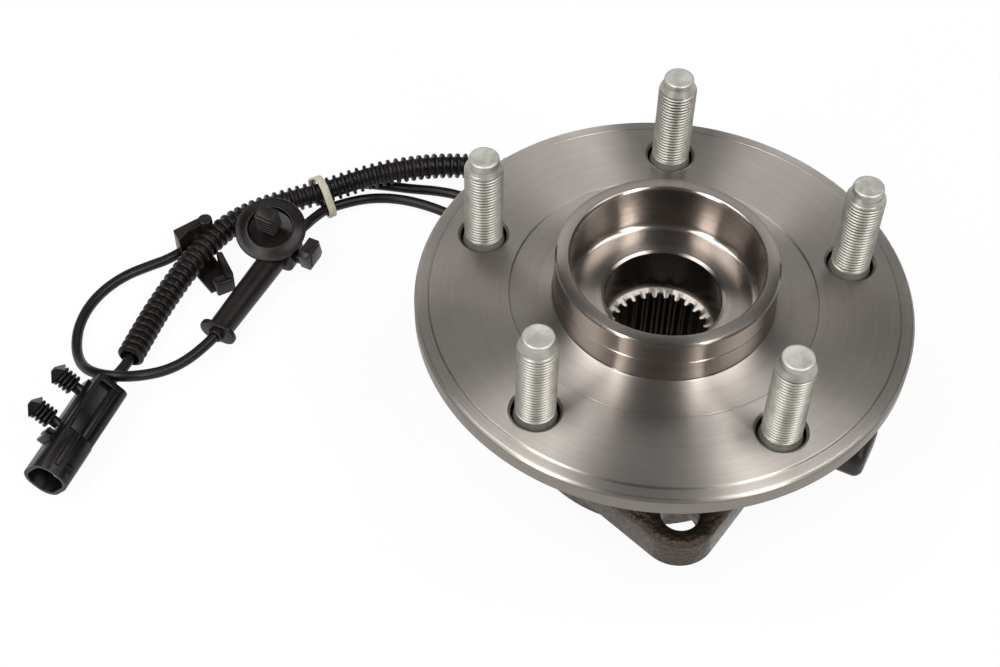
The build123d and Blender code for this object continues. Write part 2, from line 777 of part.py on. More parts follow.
loop_lead_route = [
    sleeve_end,
    (-158.43, 35.06, -61.08),
    (-167.76, 27.7, -60.39),
    (-178.2, 23.02, -57.17),
    (-187.8, 23.1, -56.3),
    (-195.67, 28.29, -59.6),
    (-200.55, 36.09, -63.91),
    (-203.09, 45.27, -66.25),
    (-202.99, 55.03, -66.25),
    (-199.97, 64.69, -66.25),
    (-194.6, 72.79, -66.25),
    (-187.08, 79.33, -66.25),
    (-178.59, 83.33, -66.25),
    (-170.49, 86.65, -66.25),
    (-155.46, 98.95, -66.25),
    (-147.95, 107.93, -66.25),
    (-136.92, 114.37, -66.25),
    (-123.06, 117.88, -64.88),
    (-109.88, 120.61, -64.2),
    (-97.68, 121.2, -65.66),
    (-87.44, 119.34, -66.25),
    (-78.17, 117.0, -66.25),
    (-68.89, 115.44, -66.25),
    (-59.43, 112.42, -66.25),
    (-49.86, 105.78, -66.25),
    (-40.59, 96.51, -66.25),
    (-30.83, 87.04, -66.25),
    (-19.61, 79.23, -66.25),
    (-6.92, 73.38, -66.25),
    (3.82, 70.84, -66.25),
    (14.65, 73.77, -66.25),
    (22.65, 81.77, -66.25),
    (25.58, 92.6, -66.25),
    (22.65, 103.44, -66.25),
    (14.65, 111.44, -66.25),
    (3.82, 114.37, -66.25),
    (-8.38, 114.46, -65.66),
    (-20.09, 115.19, -64.01),
    (-31.32, 118.47, -63.32),
]
conduit_route = [
    (-31.32, 118.47, -63.32),
    (-44.01, 122.17, -62.54),
    (-56.21, 123.35, -61.17),
    (-67.92, 122.17, -59.22),
    (-79.63, 119.64, -57.66),
    (-91.34, 117.39, -57.66),
    (-102.56, 115.34, -59.61),
    (-113.01, 113.2, -61.66),
    (-122.77, 110.85, -62.93),
    (-131.84, 108.12, -63.32),
    (-140.92, 103.73, -62.93),
    (-150.0, 96.6, -62.15),
    (-157.8, 86.94, -61.56),
    (-164.64, 75.91, -61.95),
    (-171.08, 64.4, -62.93),
    (-176.93, 52.1, -63.32),
    (-182.69, 35.7, -62.3),
]
connector_axis = Vector(*connector_direction).normalized()
connector_level = Vector(connector_axis.Y, -connector_axis.X, 0)
connector_side = connector_level * sin(radians(connector_roll))
connector_side = connector_side + Vector(0, 0, cos(radians(connector_roll)))
connector_down = connector_axis.cross(connector_side)
tail_end = Vector(*connector_rear) - connector_axis * seal_plug_proud
tail_end = tail_end + connector_down * seal_plug_offset
tail_lead_route = [
    conduit_route[-1],
    (-184.1, 31.68, -62.05),
    tuple(tail_end - connector_axis * tail_straight),
    tuple(tail_end),
]


def corner_radii(route):
    """Each corner's radius: a share of its shorter run over the tangent of half its turn."""
    radii = []
    for before, corner, after in zip(route, route[1:], route[2:]):
        run_in = Vector(*corner) - Vector(*before)
        run_out = Vector(*after) - Vector(*corner)
        half_turn = radians(run_in.get_angle(run_out)) / 2
        radii.append(corner_share * min(run_in.length, run_out.length) / tan(half_turn))
    return radii


def cord_tube(name, route, radius):
    """A round tube along straight runs joined by tangent arcs."""
    radii = corner_radii(route)
    with BuildPart() as tube:
        with BuildLine():
            path = FilletPolyline(*route, radius=radii)
        with BuildSketch(Plane(origin=path @ 0, z_dir=path % 0)):
            Circle(radius)
        sweep(path=path)
    section = pi * radius**2
    print(name, "length", round(path.length, 1), "least radius", round(min(radii), 1))
    print("  radii", [round(value, 1) for value in radii])
    print("  volume over section x length", round(tube.part.volume / (section * path.length), 4))
    return tube


sensor_lead = cord_tube("sensor_lead", sensor_lead_route, lead_r)
save(sensor_lead, "sensor_lead")
loop_lead = cord_tube("loop_lead", loop_lead_route, lead_r)
save(loop_lead, "loop_lead")
conduit = cord_tube("conduit", conduit_route, conduit_r)
save(conduit, "conduit")
tail_lead = cord_tube("tail_lead", tail_lead_route, lead_r)
save(tail_lead, "tail_lead")

sleeve_axis = (Vector(*sleeve_end) - Vector(*sleeve_start)).normalized()
sleeve_across = Vector(-sleeve_axis.Y, sleeve_axis.X, 0)
sleeve_length = (Vector(*sleeve_end) - Vector(*sleeve_start)).length


def sleeve_plane(distance):
    """A plane across the sleeve, at a distance from its start."""
    origin = Vector(*sleeve_start) + sleeve_axis * distance
    return Plane(origin=origin, x_dir=sleeve_across, z_dir=sleeve_axis)


# A moulded sleeve over the lead, with a stop flange at its far end.
with BuildPart() as lead_sleeve:
    flange_start = sleeve_length - sleeve_nipple_length - sleeve_flange_thickness
    with BuildSketch(sleeve_plane(0)):
        Circle(sleeve_start_r)
    with BuildSketch(sleeve_plane(flange_start)):
        Circle(sleeve_end_r)
    loft()
    with BuildSketch(sleeve_plane(flange_start)):
        SlotOverall(sleeve_flange_width, sleeve_flange_height)
    extrude(amount=sleeve_flange_thickness)
    with BuildSketch(sleeve_plane(flange_start + sleeve_flange_thickness)):
        Circle(sleeve_nipple_r)
    extrude(amount=sleeve_nipple_length)
save(lead_sleeve, "lead_sleeve")

# The saddle grips the sleeve; a neck on one side carries an anchor block, and a stem on
# top carries the umbrella disc.
disc_axis = Vector(*disc_normal).normalized()
disc_plane = Plane(origin=disc_centre, x_dir=sleeve_across, z_dir=disc_axis)
with BuildPart() as clip_saddle:
    with BuildSketch(sleeve_plane(saddle_lead)):
        RectangleRounded(2 * saddle_half_width, saddle_height, saddle_height / 3)
    extrude(amount=saddle_length)
    with BuildSketch(sleeve_plane(saddle_lead)):
        Circle(sleeve_start_r + saddle_gap)
    extrude(amount=saddle_length, mode=Mode.SUBTRACT)
    saddle_middle = saddle_lead + saddle_length / 2
    neck_origin = sleeve_plane(saddle_middle).origin + sleeve_across * (saddle_half_width - saddle_gap)
    neck_plane = Plane(origin=neck_origin, x_dir=sleeve_axis, z_dir=sleeve_across)
    with BuildSketch(neck_plane):
        Circle(anchor_neck_r)
    extrude(amount=anchor_offset - saddle_half_width + 2 * saddle_gap)
    anchor_origin = sleeve_plane(saddle_middle).origin + sleeve_across * anchor_offset
    anchor_origin = anchor_origin + Vector(0, 0, anchor_rise)
    with BuildSketch(Plane(origin=anchor_origin, x_dir=sleeve_axis, z_dir=sleeve_across)):
        with BuildLine():
            half_w = anchor_width / 2
            half_h = anchor_height / 2
            Polyline(
                (-half_w + anchor_chamfer, -half_h),
                (half_w - anchor_chamfer, -half_h),
                (half_w, -half_h + anchor_chamfer),
                (half_w - anchor_chamfer, half_h),
                (-half_w + anchor_chamfer, half_h),
                (-half_w, half_h - anchor_chamfer),
                close=True,
            )
        make_face()
    extrude(amount=anchor_thickness)
    with BuildSketch(disc_plane.offset(-disc_well_depth - disc_floor - disc_stem_length)):
        Circle(disc_stem_r)
    extrude(amount=disc_stem_length)
save(clip_saddle, "clip_saddle")

# The umbrella disc that seals a hole in the body, with its barbed prong in a round well.
with BuildPart() as clip_disc:
    disc_section = Plane(origin=disc_centre, x_dir=disc_plane.x_dir, z_dir=-disc_plane.y_dir)
    with BuildSketch(disc_section):
        with BuildLine():
            Polyline(
                (0, -disc_well_depth),
                (disc_well_r, -disc_well_depth),
                (disc_well_r, 0),
                (disc_r, -disc_cone_drop),
                (disc_r, -disc_cone_drop - disc_wall / 2),
                (disc_well_r + disc_wall, -disc_wall),
                (disc_well_r + disc_wall, -disc_well_depth - disc_floor),
                (0, -disc_well_depth - disc_floor),
                close=True,
            )
        make_face()
    revolve(axis=Axis(disc_centre, tuple(disc_axis)))
    with BuildSketch(disc_plane.offset(-disc_well_depth)):
        Rectangle(prong_width, prong_depth)
    extrude(amount=disc_well_depth + prong_height)
    for barb in range(prong_barbs):
        barb_z = prong_height - (barb + 1) * prong_barb_pitch
        with BuildSketch(disc_plane.offset(barb_z)):
            Rectangle(prong_width, prong_depth + 2 * prong_barb)
        extrude(amount=prong_barb_pitch / 2)
save(clip_disc, "clip_disc")

# ================================================================ routing clip
# A block beside the conduit with a channel for the lead, a base strip under the conduit,
# and an upright rib with a foot on the near side.
channel_start = Vector(*loop_lead_route[13])
channel_run = Vector(*loop_lead_route[14]) - channel_start
channel_across = Vector(-channel_run.Y, channel_run.X, 0).normalized()
with BuildPart() as routing_clip:
    for outline, height in (
        (clip_post_outline, clip_post_height),
        (clip_rib_outline, clip_rib_height),
        (clip_foot_outline, clip_foot_height),
        (clip_base_outline, clip_base_thickness),
    ):
        with BuildSketch(Plane.XY.offset(floor_z)):
            Polygon(*outline, align=None)
        extrude(amount=height)
    channel_plane = Plane(origin=channel_start, x_dir=channel_across, z_dir=channel_run)
    with BuildSketch(channel_plane):
        Rectangle(2 * (lead_r + clip_lead_gap), 2 * (lead_r + clip_lead_gap))
    extrude(amount=channel_run.length, mode=Mode.SUBTRACT)
save(routing_clip, "routing_clip")

# ================================================================ cable tie
tie_axis = Vector(*tie_direction).normalized()
tie_near_side = Vector(-tie_axis.Y, tie_axis.X, 0)
tie_plane = Plane(origin=tie_centre, x_dir=tie_near_side, z_dir=tie_axis)


def tie_profile(grow, mode):
    """The tight outline round the conduit and one lead each side of it, grown outwards."""
    big_r = conduit_r + grow
    small_r = lead_r + grow
    reach = Vector(tie_side_offset, -tie_lead_drop)
    slope = atan2(reach.Y, reach.X) + acos((big_r - small_r) / reach.length)
    normal = Vector(cos(slope), sin(slope))
    with Locations((0, 0)):
        Circle(big_r, mode=mode)
    with Locations((reach.X, reach.Y), (-reach.X, reach.Y)):
        Circle(small_r, mode=mode)
    Polygon(
        (normal.X * big_r, normal.Y * big_r),
        (reach.X + normal.X * small_r, reach.Y + normal.Y * small_r),
        (reach.X, reach.Y - small_r),
        (-reach.X, reach.Y - small_r),
        (-reach.X - normal.X * small_r, reach.Y + normal.Y * small_r),
        (-normal.X * big_r, normal.Y * big_r),
        align=None,
        mode=mode,
    )


with BuildPart() as cable_tie:
    with BuildSketch(tie_plane.offset(-tie_width / 2)):
        tie_profile(tie_gap + tie_thickness, Mode.ADD)
        tie_profile(tie_gap, Mode.SUBTRACT)
    extrude(amount=tie_width)
    tie_head_x = tie_side_offset + lead_r + tie_gap + tie_thickness / 2
    with BuildSketch(tie_plane.offset(-tie_head_width / 2)):
        with Locations((tie_head_x + tie_head_reach / 2, -tie_lead_drop)):
            RectangleRounded(tie_head_reach, tie_head_height, tie_thickness)
    extrude(amount=tie_head_width)
save(cable_tie, "cable_tie")

# ================================================================ connector
def connector_plane(distance):
    """A plane across the connector, at a distance from its rear face."""
    origin = Vector(*connector_rear) + connector_axis * distance
    return Plane(origin=origin, x_dir=connector_side, z_dir=connector_axis)


with BuildPart() as connector_housing:
    with BuildSketch(connector_plane(0)):
        RectangleRounded(connector_body_width, connector_body_height, connector_body_corner)
    extrude(amount=connector_body_length)
    with BuildSketch(connector_plane(connector_body_length)):
        RectangleRounded(connector_shroud_width, connector_shroud_height, connector_shroud_corner)
    extrude(amount=connector_shroud_length)
    connector_length = connector_body_length + connector_shroud_length
    with BuildSketch(connector_plane(connector_length)):
        RectangleRounded(
            connector_shroud_width - 2 * connector_wall,
            connector_shroud_height - 2 * connector_wall,
            connector_shroud_corner - connector_wall,
        )
    extrude(amount=-connector_mouth_depth, mode=Mode.SUBTRACT)
    with BuildSketch(connector_plane(0)):
        with Locations((0, seal_plug_offset)):
            Circle(seal_plug_r)
    extrude(amount=seal_plug_length - seal_plug_proud, mode=Mode.SUBTRACT)
    slot_plane = connector_plane(connector_slot_end_gap)
    with BuildSketch(slot_plane):
        with Locations((connector_slot_offset, -connector_body_height / 2)):
            Rectangle(connector_slot_width, 2 * connector_slot_depth)
    extrude(amount=connector_body_length - 2 * connector_slot_end_gap, mode=Mode.SUBTRACT)
    with BuildSketch(slot_plane):
        with Locations((connector_body_width / 2, rail_rise)):
            Rectangle(2 * rail_thickness, rail_height)
    extrude(amount=rail_length)
    for rib in range(grip_ribs):
        with BuildSketch(connector_plane(connector_body_length + (rib + 0.5) * grip_rib_pitch)):
            with Locations((connector_shroud_width / 2, grip_rise)):
                Rectangle(2 * grip_reach, grip_height)
        extrude(amount=grip_rib_pitch / 2)
    window_plane = connector_plane(connector_length - 2 * connector_window)
    with BuildSketch(window_plane):
        with Locations((-connector_window, -connector_shroud_height / 2)):
            Rectangle(connector_window, 2 * connector_wall + near)
    extrude(amount=connector_window, mode=Mode.SUBTRACT)
save(connector_housing, "connector_housing")

# Two barbed fasteners on the connector's rail.
with BuildPart() as connector_clips:
    for tree in range(tree_count):
        tree_distance = tree_first + tree * tree_spacing
        tree_base = connector_plane(tree_distance).origin + connector_side * tree_start
        tree_plane = Plane(origin=tree_base, x_dir=connector_axis, z_dir=connector_side)
        root_face = connector_body_width / 2 + rail_thickness
        with BuildSketch(Plane(origin=tree_base, x_dir=connector_axis, z_dir=-connector_side)):
            Circle(tree_root_r)
        extrude(amount=tree_start - root_face)
        with BuildSketch(tree_plane):
            Circle(tree_stem_r)
        extrude(amount=tree_length - tree_tip_length)
        for fin in range(tree_fins):
            fin_height = tree_fin_pitch * (fin + 1)
            with BuildSketch(tree_plane.offset(fin_height)):
                Circle(tree_fin_r)
            extrude(amount=tree_fin_thickness, taper=tree_fin_taper)
        with BuildSketch(tree_plane.offset(tree_length - tree_tip_length)):
            Circle(tree_fin_r)
        extrude(amount=tree_tip_length, taper=tree_tip_taper)
save(connector_clips, "connector_clips")

with BuildPart() as connector_seal:
    with BuildSketch(connector_plane(-seal_plug_proud)):
        with Locations((0, seal_plug_offset)):
            Circle(seal_plug_r - seal_bore_gap)
    extrude(amount=seal_plug_length)
save(connector_seal, "connector_seal")

with BuildPart() as connector_pins:
    with BuildSketch(connector_plane(connector_length - connector_mouth_depth)):
        with GridLocations(pin_pitch, 0, 2, 1):
            Rectangle(pin_width, pin_thickness)
    extrude(amount=pin_length)
save(connector_pins, "connector_pins")
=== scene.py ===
# %% [markdown]
# A wheel hub with its bearing, studs and sensor lead, dressed for a picture.
#
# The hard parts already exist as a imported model, the frame. This script keeps every piece of
# it where it is, gives the metal and the plastic their finish, and swaps the few pieces whose
# charm is in the small forms, such as the stud threads and the ribbed conduit, for modelled
# ones. All lengths are metres, +Z is the side where the wheel goes, and the origin is the
# middle of the wheel's mounting face.

# %% The frame and the tools
from math import atan2, cos, pi, radians, sin

import bpy
from mathutils import Matrix, Quaternion, Vector


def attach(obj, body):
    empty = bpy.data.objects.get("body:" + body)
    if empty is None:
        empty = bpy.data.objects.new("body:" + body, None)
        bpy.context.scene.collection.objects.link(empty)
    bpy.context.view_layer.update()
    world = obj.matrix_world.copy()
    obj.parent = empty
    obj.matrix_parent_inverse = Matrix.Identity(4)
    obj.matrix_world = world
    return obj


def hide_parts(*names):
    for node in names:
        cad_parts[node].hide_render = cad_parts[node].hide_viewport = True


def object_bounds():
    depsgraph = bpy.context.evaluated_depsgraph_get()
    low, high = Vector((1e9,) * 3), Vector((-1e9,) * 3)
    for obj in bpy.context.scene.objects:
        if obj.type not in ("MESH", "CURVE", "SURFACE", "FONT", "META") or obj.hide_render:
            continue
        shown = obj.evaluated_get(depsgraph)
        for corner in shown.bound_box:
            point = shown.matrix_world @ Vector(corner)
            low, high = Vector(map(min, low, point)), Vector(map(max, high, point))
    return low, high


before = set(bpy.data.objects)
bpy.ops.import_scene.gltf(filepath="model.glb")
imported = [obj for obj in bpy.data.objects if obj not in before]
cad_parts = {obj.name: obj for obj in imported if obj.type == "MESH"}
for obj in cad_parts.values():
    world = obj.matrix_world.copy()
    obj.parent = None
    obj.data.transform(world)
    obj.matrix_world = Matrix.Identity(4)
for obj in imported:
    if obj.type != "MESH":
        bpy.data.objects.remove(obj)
cad_box = [list(corner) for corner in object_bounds()]

# %% [markdown]
# Blender's edit operators act on whatever is selected, and the frame arrives selected. These
# small helpers start a piece from nothing, turn it, stand it up, join it, and leave the
# finished piece unselected, so that no operator ever reaches a piece that is done.

# %% Helpers for modelling by operator
MM = 0.001


def start_clean():
    """Nothing selected, nothing in edit mode."""
    if bpy.context.object and bpy.context.object.mode == "EDIT":
        bpy.ops.object.mode_set(mode="OBJECT")
    bpy.ops.object.select_all(action="DESELECT")


def rename(name):
    """Names the new active object and its mesh."""
    piece = bpy.context.object
    piece.name = name
    piece.data.name = name
    return piece


def only(piece):
    """Makes one piece the selected and active one."""
    start_clean()
    piece.select_set(True)
    bpy.context.view_layer.objects.active = piece


def apply_all(piece):
    """Applies the modifiers, then the place, so that the object is left at the origin."""
    only(piece)
    for modifier in list(piece.modifiers):
        bpy.ops.object.modifier_apply(modifier=modifier.name)
    bpy.ops.object.transform_apply(location=True, rotation=True, scale=True)


def modify(piece, name, kind, **settings):
    """A modifier with its settings, left live until apply_all."""
    modifier = piece.modifiers.new(name, kind)
    for key, value in settings.items():
        setattr(modifier, key, value)


def break_edges(piece, width, segments, angle):
    """A bevel on every edge sharper than the angle."""
    modify(piece, "broken_edges", "BEVEL", width=width * MM, segments=segments,
           limit_method="ANGLE", angle_limit=radians(angle))


def merge_close(distance):
    """Merges the points of the piece in edit mode that lie closer than a distance in mm."""
    bpy.ops.mesh.select_all(action="SELECT")
    bpy.ops.mesh.remove_doubles(threshold=distance * MM)


def reach_of(place):
    """How far a place is from the Z axis, in millimetres."""
    return Vector((place.x, place.y)).length / MM


def set_reach(vertex, wanted):
    """Moves a vertex towards or away from the Z axis, to a distance in millimetres."""
    share = wanted / reach_of(vertex.co)
    vertex.co.x *= share
    vertex.co.y *= share


def finish_piece(piece, body, material, smooth=35):
    """Smooth shading up to an angle, one material, and a body to ride on."""
    apply_all(piece)
    bpy.ops.object.shade_smooth_by_angle(angle=radians(smooth))
    piece.data.materials.clear()
    piece.data.materials.append(material)
    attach(piece, body)
    start_clean()
    print("made", piece.name, len(piece.data.polygons), "faces")
    return piece


def string_of_points(name, outline, rise=0.0):
    """Draws (radius, height) points, in millimetres, as a string of edges; stays in edit mode."""
    start_clean()
    bpy.ops.mesh.primitive_plane_add(size=MM)
    piece = rename(name)
    bpy.ops.object.mode_set(mode="EDIT")
    bpy.ops.mesh.merge(type="CENTER")
    bpy.ops.transform.translate(value=(outline[0][0] * MM, 0, (outline[0][1] + rise) * MM))
    for (r0, z0), (r1, z1) in zip(outline, outline[1:]):
        step = ((r1 - r0) * MM, 0, (z1 - z0) * MM)
        bpy.ops.mesh.extrude_vertices_move(TRANSFORM_OT_translate={"value": step})
    return piece


def lathe(name, outline, steps):
    """Turns an outline of (radius, height) points, in millimetres, about Z."""
    piece = string_of_points(name, outline)
    bpy.ops.mesh.select_all(action="SELECT")
    bpy.ops.mesh.spin(steps=steps, angle=2 * pi, center=(0, 0, 0), axis=(0, 0, 1))
    merge_close(0.002)
    bpy.ops.mesh.normals_make_consistent(inside=False)
    bpy.ops.object.mode_set(mode="OBJECT")
    return piece


def stand(piece, origin, axis, across=None):
    """Moves a piece modelled about Z so that its Z lies along an axis from an origin."""
    z = Vector(axis).normalized()
    x = Vector(across) if across else z.orthogonal()
    x = (x - x.dot(z) * z).normalized()
    turn = Matrix((x, z.cross(x), z)).transposed()
    piece.matrix_world = Matrix.Translation(Vector(origin) * MM) @ turn.to_4x4()
    apply_all(piece)


def join(name, pieces):
    """Makes one object of several."""
    start_clean()
    for piece in pieces:
        piece.select_set(True)
    bpy.context.view_layer.objects.active = pieces[0]
    bpy.ops.object.join()
    return rename(name)


# %% [markdown]
# Every finish here is procedural. A pattern that several finishes share, such as the rings
# that a lathe leaves or the grain of a moulding, is a node group, built once and placed in
# each material with its own values. The groups read Object coordinates, so a pattern stays
# fixed to its piece when the hub turns.


# %% Helpers for materials
def new_material(name):
    """A material with an empty Principled surface, and its node tree."""
    made = bpy.data.materials.new(name)
    made.use_nodes = True
    return made, made.node_tree, made.node_tree.nodes["Principled BSDF"]


def add_node(tree, kind, **settings):
    """A node with its settings, ready to be linked."""
    node = tree.nodes.new(kind)
    for key, value in settings.items():
        setattr(node, key, value)
    return node


def feed(tree, node, **values):
    """Links or sets a node's inputs by name, with underscores for spaces."""
    for key, value in values.items():
        socket = node.inputs[key.replace("_", " ")]
        if isinstance(value, bpy.types.NodeSocket):
            tree.links.new(value, socket)
        else:
            socket.default_value = value
    return node


def fed_node(tree, kind, **values):
    """A plain node with its inputs linked or set by name."""
    return feed(tree, add_node(tree, kind), **values)


def math_node(tree, operation, first, second=0.5, clamp=False):
    """One step of arithmetic on sockets or numbers."""
    node = add_node(tree, "ShaderNodeMath", operation=operation, use_clamp=clamp)
    for socket, value in zip(node.inputs, (first, second)):
        if isinstance(value, bpy.types.NodeSocket):
            tree.links.new(value, socket)
        else:
            socket.default_value = value
    return node.outputs[0]


def scaled(tree, value, share, offset):
    """A value times a share, plus an offset."""
    return math_node(tree, "ADD", math_node(tree, "MULTIPLY", value, share), offset)


def ramp(tree, fac, stops):
    """A colour ramp with (place, colour) stops."""
    node = add_node(tree, "ShaderNodeValToRGB")
    elements = node.color_ramp.elements
    while len(elements) < len(stops):
        elements.new(0.5)
    for element, (place, colour) in zip(elements, stops):
        element.position = place
        element.color = (*colour, 1)
    tree.links.new(fac, node.inputs["Fac"])
    return node.outputs["Color"]


def grey(value):
    return (value, value, value)


def new_group(name, inputs, outputs):
    """An empty node group with named sockets, its tree, and its two end nodes."""
    group = bpy.data.node_groups.new(name, "ShaderNodeTree")
    for label, default in inputs:
        socket = group.interface.new_socket(label, in_out="INPUT", socket_type="NodeSocketFloat")
        socket.default_value = default
    for label, kind in outputs:
        group.interface.new_socket(label, in_out="OUTPUT", socket_type=kind)
    return group, group.nodes.new("NodeGroupInput"), group.nodes.new("NodeGroupOutput")


def place_group(tree, group, **values):
    """The group as a node of this material, with its own values."""
    return feed(tree, add_node(tree, "ShaderNodeGroup", node_tree=group), **values)


# %% [markdown]
# The camera stands where a product camera would, a little over half a metre from the hub and
# about fifty degrees above the table, with a mild telephoto lens. It is turned by under a
# degree about its own axis.

# %% Camera
def toward(azimuth, elevation):
    """The direction from the hub to a compass place, in degrees, where 0 is along -Y."""
    a, e = radians(azimuth), radians(elevation)
    return Vector((sin(a) * cos(e), -cos(a) * cos(e), sin(e)))


def aim(thing, outward, roll=0.0):
    """Turns a camera or a lamp to look back along a direction, rolled by some degrees."""
    thing.rotation_mode = "QUATERNION"
    rolled = Quaternion((0, 0, 1), radians(roll))
    thing.rotation_quaternion = outward.to_track_quat("Z", "Y") @ rolled


look_at = Vector((-0.05404, -0.01326, 0.0))
camera_roll, camera_distance = 0.928, 0.53228
away = toward(-5.231, 50.56)
bpy.ops.object.camera_add(location=look_at + away * camera_distance)
camera = bpy.context.object
camera.name = "product_camera"
aim(camera, away, camera_roll)
camera.data.lens = 60.69
camera.data.sensor_width = 36
camera.data.clip_start = 0.01
bpy.context.scene.camera = camera
bpy.context.scene.view_settings.view_transform = "Standard"
print("camera at", [round(v, 4) for v in camera.location])

# %% [markdown]
# The studio is a pale floor under a dim even sky. The camera sees most of the floor as plain
# white, and so does the metal, which would go black if it mirrored an empty room. What is left
# of the floor's own paint takes the soft shadow that sets the part down on it.

# %% Floor and sky
FLOOR_GAP = 0.2  # millimetres under the lowest point, so that no face is shared
floor_height = cad_box[0][2] - FLOOR_GAP * MM
start_clean()
bpy.ops.mesh.primitive_plane_add(size=6, location=(0, 0, floor_height))
floor = rename("studio_floor")
floor_paint = bpy.data.materials.new("floor_paint")
floor_paint.use_nodes = True
tree = floor_paint.node_tree
tree.nodes.clear()
floor_out = add_node(tree, "ShaderNodeOutputMaterial")
floor_mix = add_node(tree, "ShaderNodeMixShader")
floor_diffuse = fed_node(tree, "ShaderNodeBsdfDiffuse", Color=(0.82, 0.82, 0.82, 1))
floor_glow = fed_node(tree, "ShaderNodeEmission", Color=(1, 1, 1, 1), Strength=1.0)
rays = add_node(tree, "ShaderNodeLightPath").outputs
GLOW_SHARE = 0.94
mirrored = math_node(tree, "ADD", rays["Is Glossy Ray"], rays["Is Transmission Ray"])
seen = math_node(tree, "ADD", rays["Is Camera Ray"], mirrored, True)
feed(tree, floor_mix, Fac=math_node(tree, "MULTIPLY", seen, GLOW_SHARE))
tree.links.new(floor_diffuse.outputs[0], floor_mix.inputs[1])
tree.links.new(floor_glow.outputs[0], floor_mix.inputs[2])
feed(tree, floor_out, Surface=floor_mix.outputs[0])
floor.data.materials.append(floor_paint)

sky = bpy.data.worlds.new("studio_sky")
bpy.context.scene.world = sky
sky.use_nodes = True
tree = sky.node_tree
tree.nodes.clear()
sky_out = add_node(tree, "ShaderNodeOutputWorld")
sky_light = fed_node(tree, "ShaderNodeBackground", Color=(0.98, 0.99, 1.0, 1), Strength=0.10)
feed(tree, sky_out, Surface=sky_light.outputs[0])
print("floor at", round(floor_height, 4))

# %% [markdown]
# Turned steel shows each lamp as a fan across its flat faces and as an upright streak on its
# round walls, and the gaps between the lamps as dark bands. Two narrow boxes in front give the
# streaks, two wings high at the sides give the fans, and a wide panel behind lifts the far edge.

# %% Lamps
def soft_box(name, azimuth, elevation, distance, width, height, power):
    """A rectangular lamp that faces the hub from a compass place, in metres and watts."""
    outward = toward(azimuth, elevation)
    start_clean()
    bpy.ops.object.light_add(type="AREA", location=outward * distance)
    lamp = bpy.context.object
    lamp.name = name
    lamp.data.shape = "RECTANGLE"
    lamp.data.size, lamp.data.size_y = width, height
    lamp.data.energy = power
    aim(lamp, outward)


soft_box("right_box", 36, 40, 1.3, 0.30, 1.0, 9)
soft_box("left_box", -52, 38, 1.3, 0.34, 1.0, 9)
soft_box("right_wing", 86, 60, 1.4, 0.55, 0.8, 7)
soft_box("left_wing", -94, 60, 1.4, 0.6, 0.8, 8)
soft_box("back_panel", 178, 40, 1.7, 2.0, 0.5, 3)

# %% [markdown]
# A lathe tool leaves fine rings, all about one axis. A noise that is read at (radius, height)
# and at nothing else gives exactly that: it can't change along a ring. A finer and a coarser
# noise together keep the rings from looking like a record's grooves.

# %% Lathe rings
FLOAT = "NodeSocketFloat"
lathe_rings, given, result = new_group(
    "lathe_rings", [("Fine", 2600.0), ("Coarse", 420.0)], [("Rings", FLOAT), ("Bands", FLOAT)]
)
coords = add_node(lathe_rings, "ShaderNodeTexCoord")
split = fed_node(lathe_rings, "ShaderNodeSeparateXYZ", Vector=coords.outputs["Object"])
across = math_node(lathe_rings, "MULTIPLY", split.outputs["X"], split.outputs["X"])
along = math_node(lathe_rings, "MULTIPLY", split.outputs["Y"], split.outputs["Y"])
radius = math_node(lathe_rings, "SQRT", math_node(lathe_rings, "ADD", across, along))
flat_place = fed_node(lathe_rings, "ShaderNodeCombineXYZ", X=radius, Y=split.outputs["Z"])
for label, detail, out in (("Fine", 2.0, "Rings"), ("Coarse", 3.0, "Bands")):
    noise = add_node(lathe_rings, "ShaderNodeTexNoise", noise_dimensions="2D")
    feed(lathe_rings, noise, Vector=flat_place.outputs[0], Scale=given.outputs[label])
    feed(lathe_rings, noise, Detail=detail)
    feed(lathe_rings, result, **{out: noise.outputs["Fac"]})

# %% [markdown]
# Nothing that has been handled is one even tone. Soft clouds of oil and fingerprints change
# how rough a surface is more than they change its colour, and small specks of dust and tiny
# dings sit on top. One group gives both, as masks between 0 and 1.

# %% Handling marks
handling, given, result = new_group(
    "handling_marks",
    [("Cloud size", 26.0), ("Speck size", 900.0)],
    [("Clouds", FLOAT), ("Specks", FLOAT)],
)
coords = add_node(handling, "ShaderNodeTexCoord")
clouds = fed_node(handling, "ShaderNodeTexNoise", Detail=5.0, Roughness=0.6, Distortion=0.6)
specks = fed_node(handling, "ShaderNodeTexNoise", Detail=1.0)
for noise, label in ((clouds, "Cloud size"), (specks, "Speck size")):
    feed(handling, noise, Vector=coords.outputs["Object"], Scale=given.outputs[label])
SPECK_LEVEL, SPECK_GAIN = 0.66, 14.0
above = math_node(handling, "SUBTRACT", specks.outputs["Fac"], SPECK_LEVEL)
speck_mask = math_node(handling, "MULTIPLY", above, SPECK_GAIN, True)
feed(handling, result, Clouds=clouds.outputs["Fac"], Specks=speck_mask)

# %% [markdown]
# Moulded plastic and rubber take their grain from the tool they were made in: a fine even
# pebble, only just visible, that breaks up the highlights.

# %% Moulded grain
grain, given, result = new_group(
    "moulded_grain", [("Size", 1800.0)], [("Height", FLOAT), ("Tone", FLOAT)]
)
coords = add_node(grain, "ShaderNodeTexCoord")
pebble = add_node(grain, "ShaderNodeTexNoise")
feed(grain, pebble, Vector=coords.outputs["Object"], Scale=given.outputs["Size"], Detail=3.0)
tone = fed_node(
    grain, "ShaderNodeTexNoise", Vector=coords.outputs["Object"], Scale=60.0, Detail=4.0
)
feed(grain, result, Height=pebble.outputs["Fac"], Tone=tone.outputs["Fac"])
print("groups:", [g.name for g in bpy.data.node_groups])


